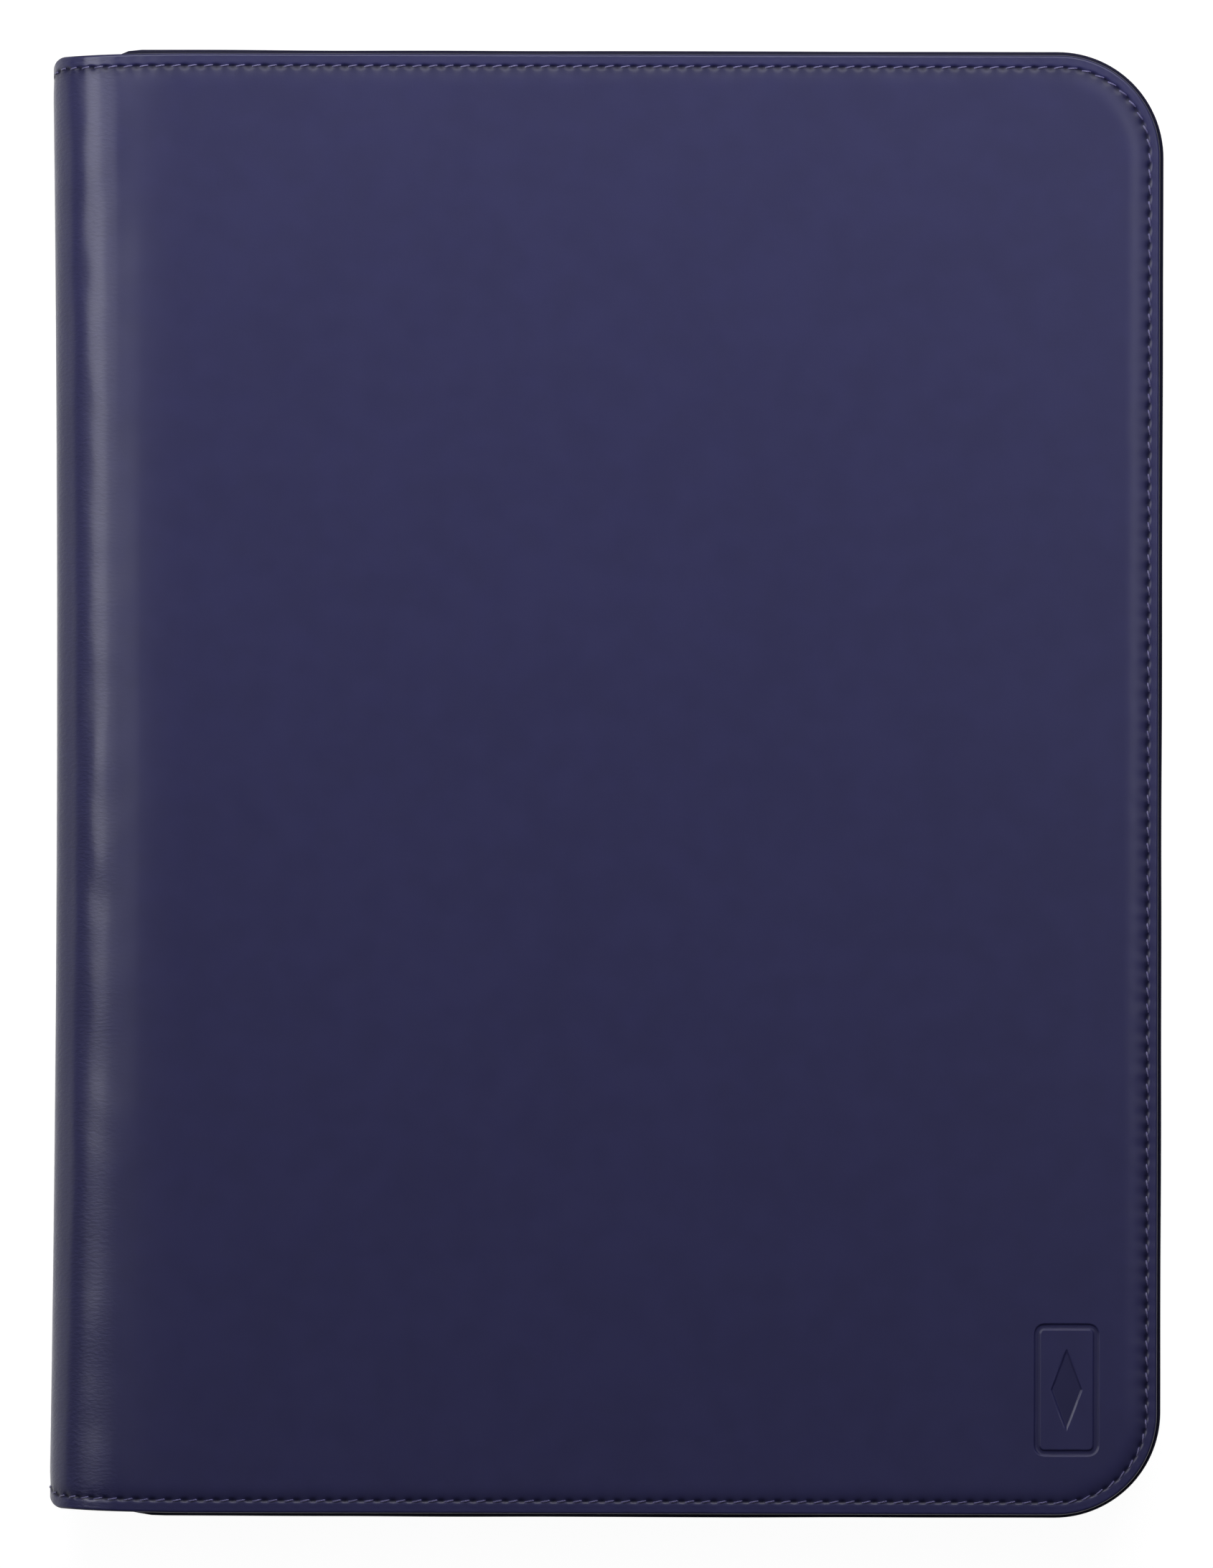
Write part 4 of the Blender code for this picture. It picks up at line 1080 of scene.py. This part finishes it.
KEY_LABELS = (
    "esc f1 f2 f3 f4 f5 f6 f7 f8 f9 f10 f11 f12 del",
    "` 1 2 3 4 5 6 7 8 9 0 - back",
    "tab Q W E R T Y U I O P [ ]",
    "caps A S D F G H J K L ; enter",
    "shift Z X C V B N M , . shift",
    "fn ctrl opt cmd space cmd < v >",
)
LETTER_SIZE = 4.6
WORD_SIZE = 3.0
LEGEND_INK = 0.02
KEY_TOP_DEPTH = 0.1
POCKET_STITCH_INSET = 2.0
POCKET_STITCH_PITCH = 3.0
POCKET_STITCH_LENGTH = 2.0
POCKET_STITCH_RISE = 0.5
POCKET_STITCH_LEAN = 0.1
POCKET_STITCH_SINK = 0.1


def key_tops():
    """The middle of every key's top in millimetres, row by row from the spine and from +Y in each row."""
    bm = bmesh.new()
    bm.from_mesh(frame["nodes"]["key_mat"].data)
    bmesh.ops.remove_doubles(bm, verts=bm.verts, dist=WELD)
    tip = min(vertex.co.z for vertex in bm.verts) + KEY_TOP_DEPTH * MM
    tops = [face for face in bm.faces if face.normal.z < -0.9 and face.calc_center_median().z < tip]
    loose = set(tops)
    middles = []
    while loose:
        island = [loose.pop()]
        for face in island:
            near = {other for edge in face.edges for other in edge.link_faces} & loose
            island += near
            loose -= near
        spots = np.array([vertex.co for face in island for vertex in face.verts]) / MM
        middles.append((spots.min(axis=0) + spots.max(axis=0)) / 2)
    bm.free()
    middles.sort(key=lambda spot: (round(spot[0]), -spot[1]))
    return middles


def build_legends():
    """Letters printed on the keys, read with the spine at the top."""
    points, faces = [], []
    labels = [label for row in KEY_LABELS for label in row.split()]
    for label, middle in zip(labels, key_tops(), strict=True):
        if label == "space":
            continue
        text = bpy.data.curves.new(label, "FONT")
        text.body = label
        text.size = LETTER_SIZE if len(label) == 1 else WORD_SIZE
        text.extrude = LEGEND_INK / 2
        text.resolution_u = 2
        text.align_x, text.align_y = "CENTER", "CENTER"
        holder = bpy.data.objects.new(label, text)
        bpy.context.scene.collection.objects.link(holder)
        mesh = bpy.data.meshes.new_from_object(holder.evaluated_get(bpy.context.evaluated_depsgraph_get()))
        faces += [[len(points) + i for i in polygon.vertices] for polygon in mesh.polygons]
        points += [middle - (v.co.y, v.co.x, v.co.z + LEGEND_INK / 2) for v in mesh.vertices]
        bpy.data.objects.remove(holder)
        bpy.data.meshes.remove(mesh)
        bpy.data.curves.remove(text)
    piece = new_piece("key_legends", points, faces, "key_rubber", "legend", smooth=False)
    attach(piece, "front_cover")


def build_pocket_stitches():
    """The sewing round three sides of each card pocket; the side towards the keyboard is its mouth."""
    for node in ("card_pocket_left", "card_pocket_right"):
        low, high = (np.array(corner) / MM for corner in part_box(node))
        low, high = low + POCKET_STITCH_INSET, high - POCKET_STITCH_INSET
        path = np.array(((low[0], low[1]), (high[0], low[1]), (high[0], high[1]), (low[0], high[1])))
        steps = np.diff(path, axis=0)
        length = np.concatenate(([0], np.cumsum(np.hypot(*steps.T))))
        along = np.arange(POCKET_STITCH_PITCH, length[-1], POCKET_STITCH_PITCH)
        place = np.column_stack([np.interp(along, length, column) for column in path.T])
        side = np.searchsorted(length, along) - 1
        direction = np.column_stack((steps[side], np.zeros(len(side))))
        level = low[2] - POCKET_STITCH_INSET + POCKET_STITCH_SINK
        place = np.column_stack((place, np.full(len(place), level)))
        up = np.tile((0.0, 0.0, -1.0), (len(place), 1))
        sizes = {
            "Length": POCKET_STITCH_LENGTH,
            "Thickness": THREAD,
            "Rise": POCKET_STITCH_RISE,
            "Lean": POCKET_STITCH_LEAN,
        }
        name = f"{node}_stitches"
        piece = repeated(name, STITCH_TREE, place, direction, up, sizes, "lining_fabric", "thread")
        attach(piece, "front_cover")


# Studio

def add_light(name, place, target, size, power, diffuse, gloss):
    data = bpy.data.lights.new(name, "AREA")
    data.shape = "RECTANGLE"
    data.size, data.size_y = size
    data.energy = power
    light = bpy.data.objects.new(name, data)
    light.visible_diffuse = diffuse
    light.visible_glossy = gloss
    light.location = place
    light.rotation_euler = (Vector(target) - Vector(place)).to_track_quat("-Z", "Y").to_euler()
    bpy.context.scene.collection.objects.link(light)


def build_floor():
    """A white table, lit from behind as in a light box."""
    mesh = bpy.data.meshes.new("floor")
    sides = ((-1, -1), (1, -1), (1, 1), (-1, 1))
    corners = [(x * FLOOR_HALF, y * FLOOR_HALF, FLOOR_LEVEL) for x, y in sides]
    mesh.from_pydata(corners, [], [(0, 1, 2, 3)])
    floor = bpy.data.objects.new("floor", mesh)
    bpy.context.scene.collection.objects.link(floor)
    white = Finish("white_table", roughness=0.9, emission_strength=0.96)
    white.set("Base Color", (0.15, 0.15, 0.15, 1))
    white.set("Emission Color", (1, 1, 1, 1))
    mesh.materials.append(white.material)


def build_studio():
    """Area lights in a dim white room."""
    world = bpy.data.worlds.new("studio")
    world.use_nodes = True
    tree = world.node_tree
    background = tree.nodes["Background"]
    background.inputs["Color"].default_value = (1, 1, 1, 1)
    background.inputs["Strength"].default_value = WORLD_LIGHT
    bpy.context.scene.world = world
    bpy.context.scene.view_settings.view_transform = "Standard"
    for light in LIGHTS:
        add_light(*light)


def build_camera():
    """A long lens straight above the case."""
    data = bpy.data.cameras.new("camera")
    data.sensor_width = SENSOR
    data.lens = SENSOR * CAMERA_HEIGHT / FRAME_HEIGHT
    data.clip_end = 20
    camera = bpy.data.objects.new("camera", data)
    camera.location = (CAMERA_X, 0, CAMERA_HEIGHT + TOP * CAMERA_SUBJECT * MM)
    camera.rotation_euler = (0, 0, math.radians(CAMERA_ROLL))
    bpy.context.scene.collection.objects.link(camera)
    bpy.context.scene.camera = camera


for subpart in frame["record"]["subparts"]:
    for material_slot in frame["nodes"][subpart["node"]].material_slots:
        material_slot.material = FINISHES[subpart["material_slot"]]
for cover, seed in (("front", 3.1), ("back", 8.7)):
    build_leather(cover, seed)
    build_hinge_lining(cover, seed)
    build_stitches(cover, seed)
    build_closure(cover)
build_hard_pieces()
build_legends()
build_pocket_stitches()
build_floor()
build_studio()
build_camera()
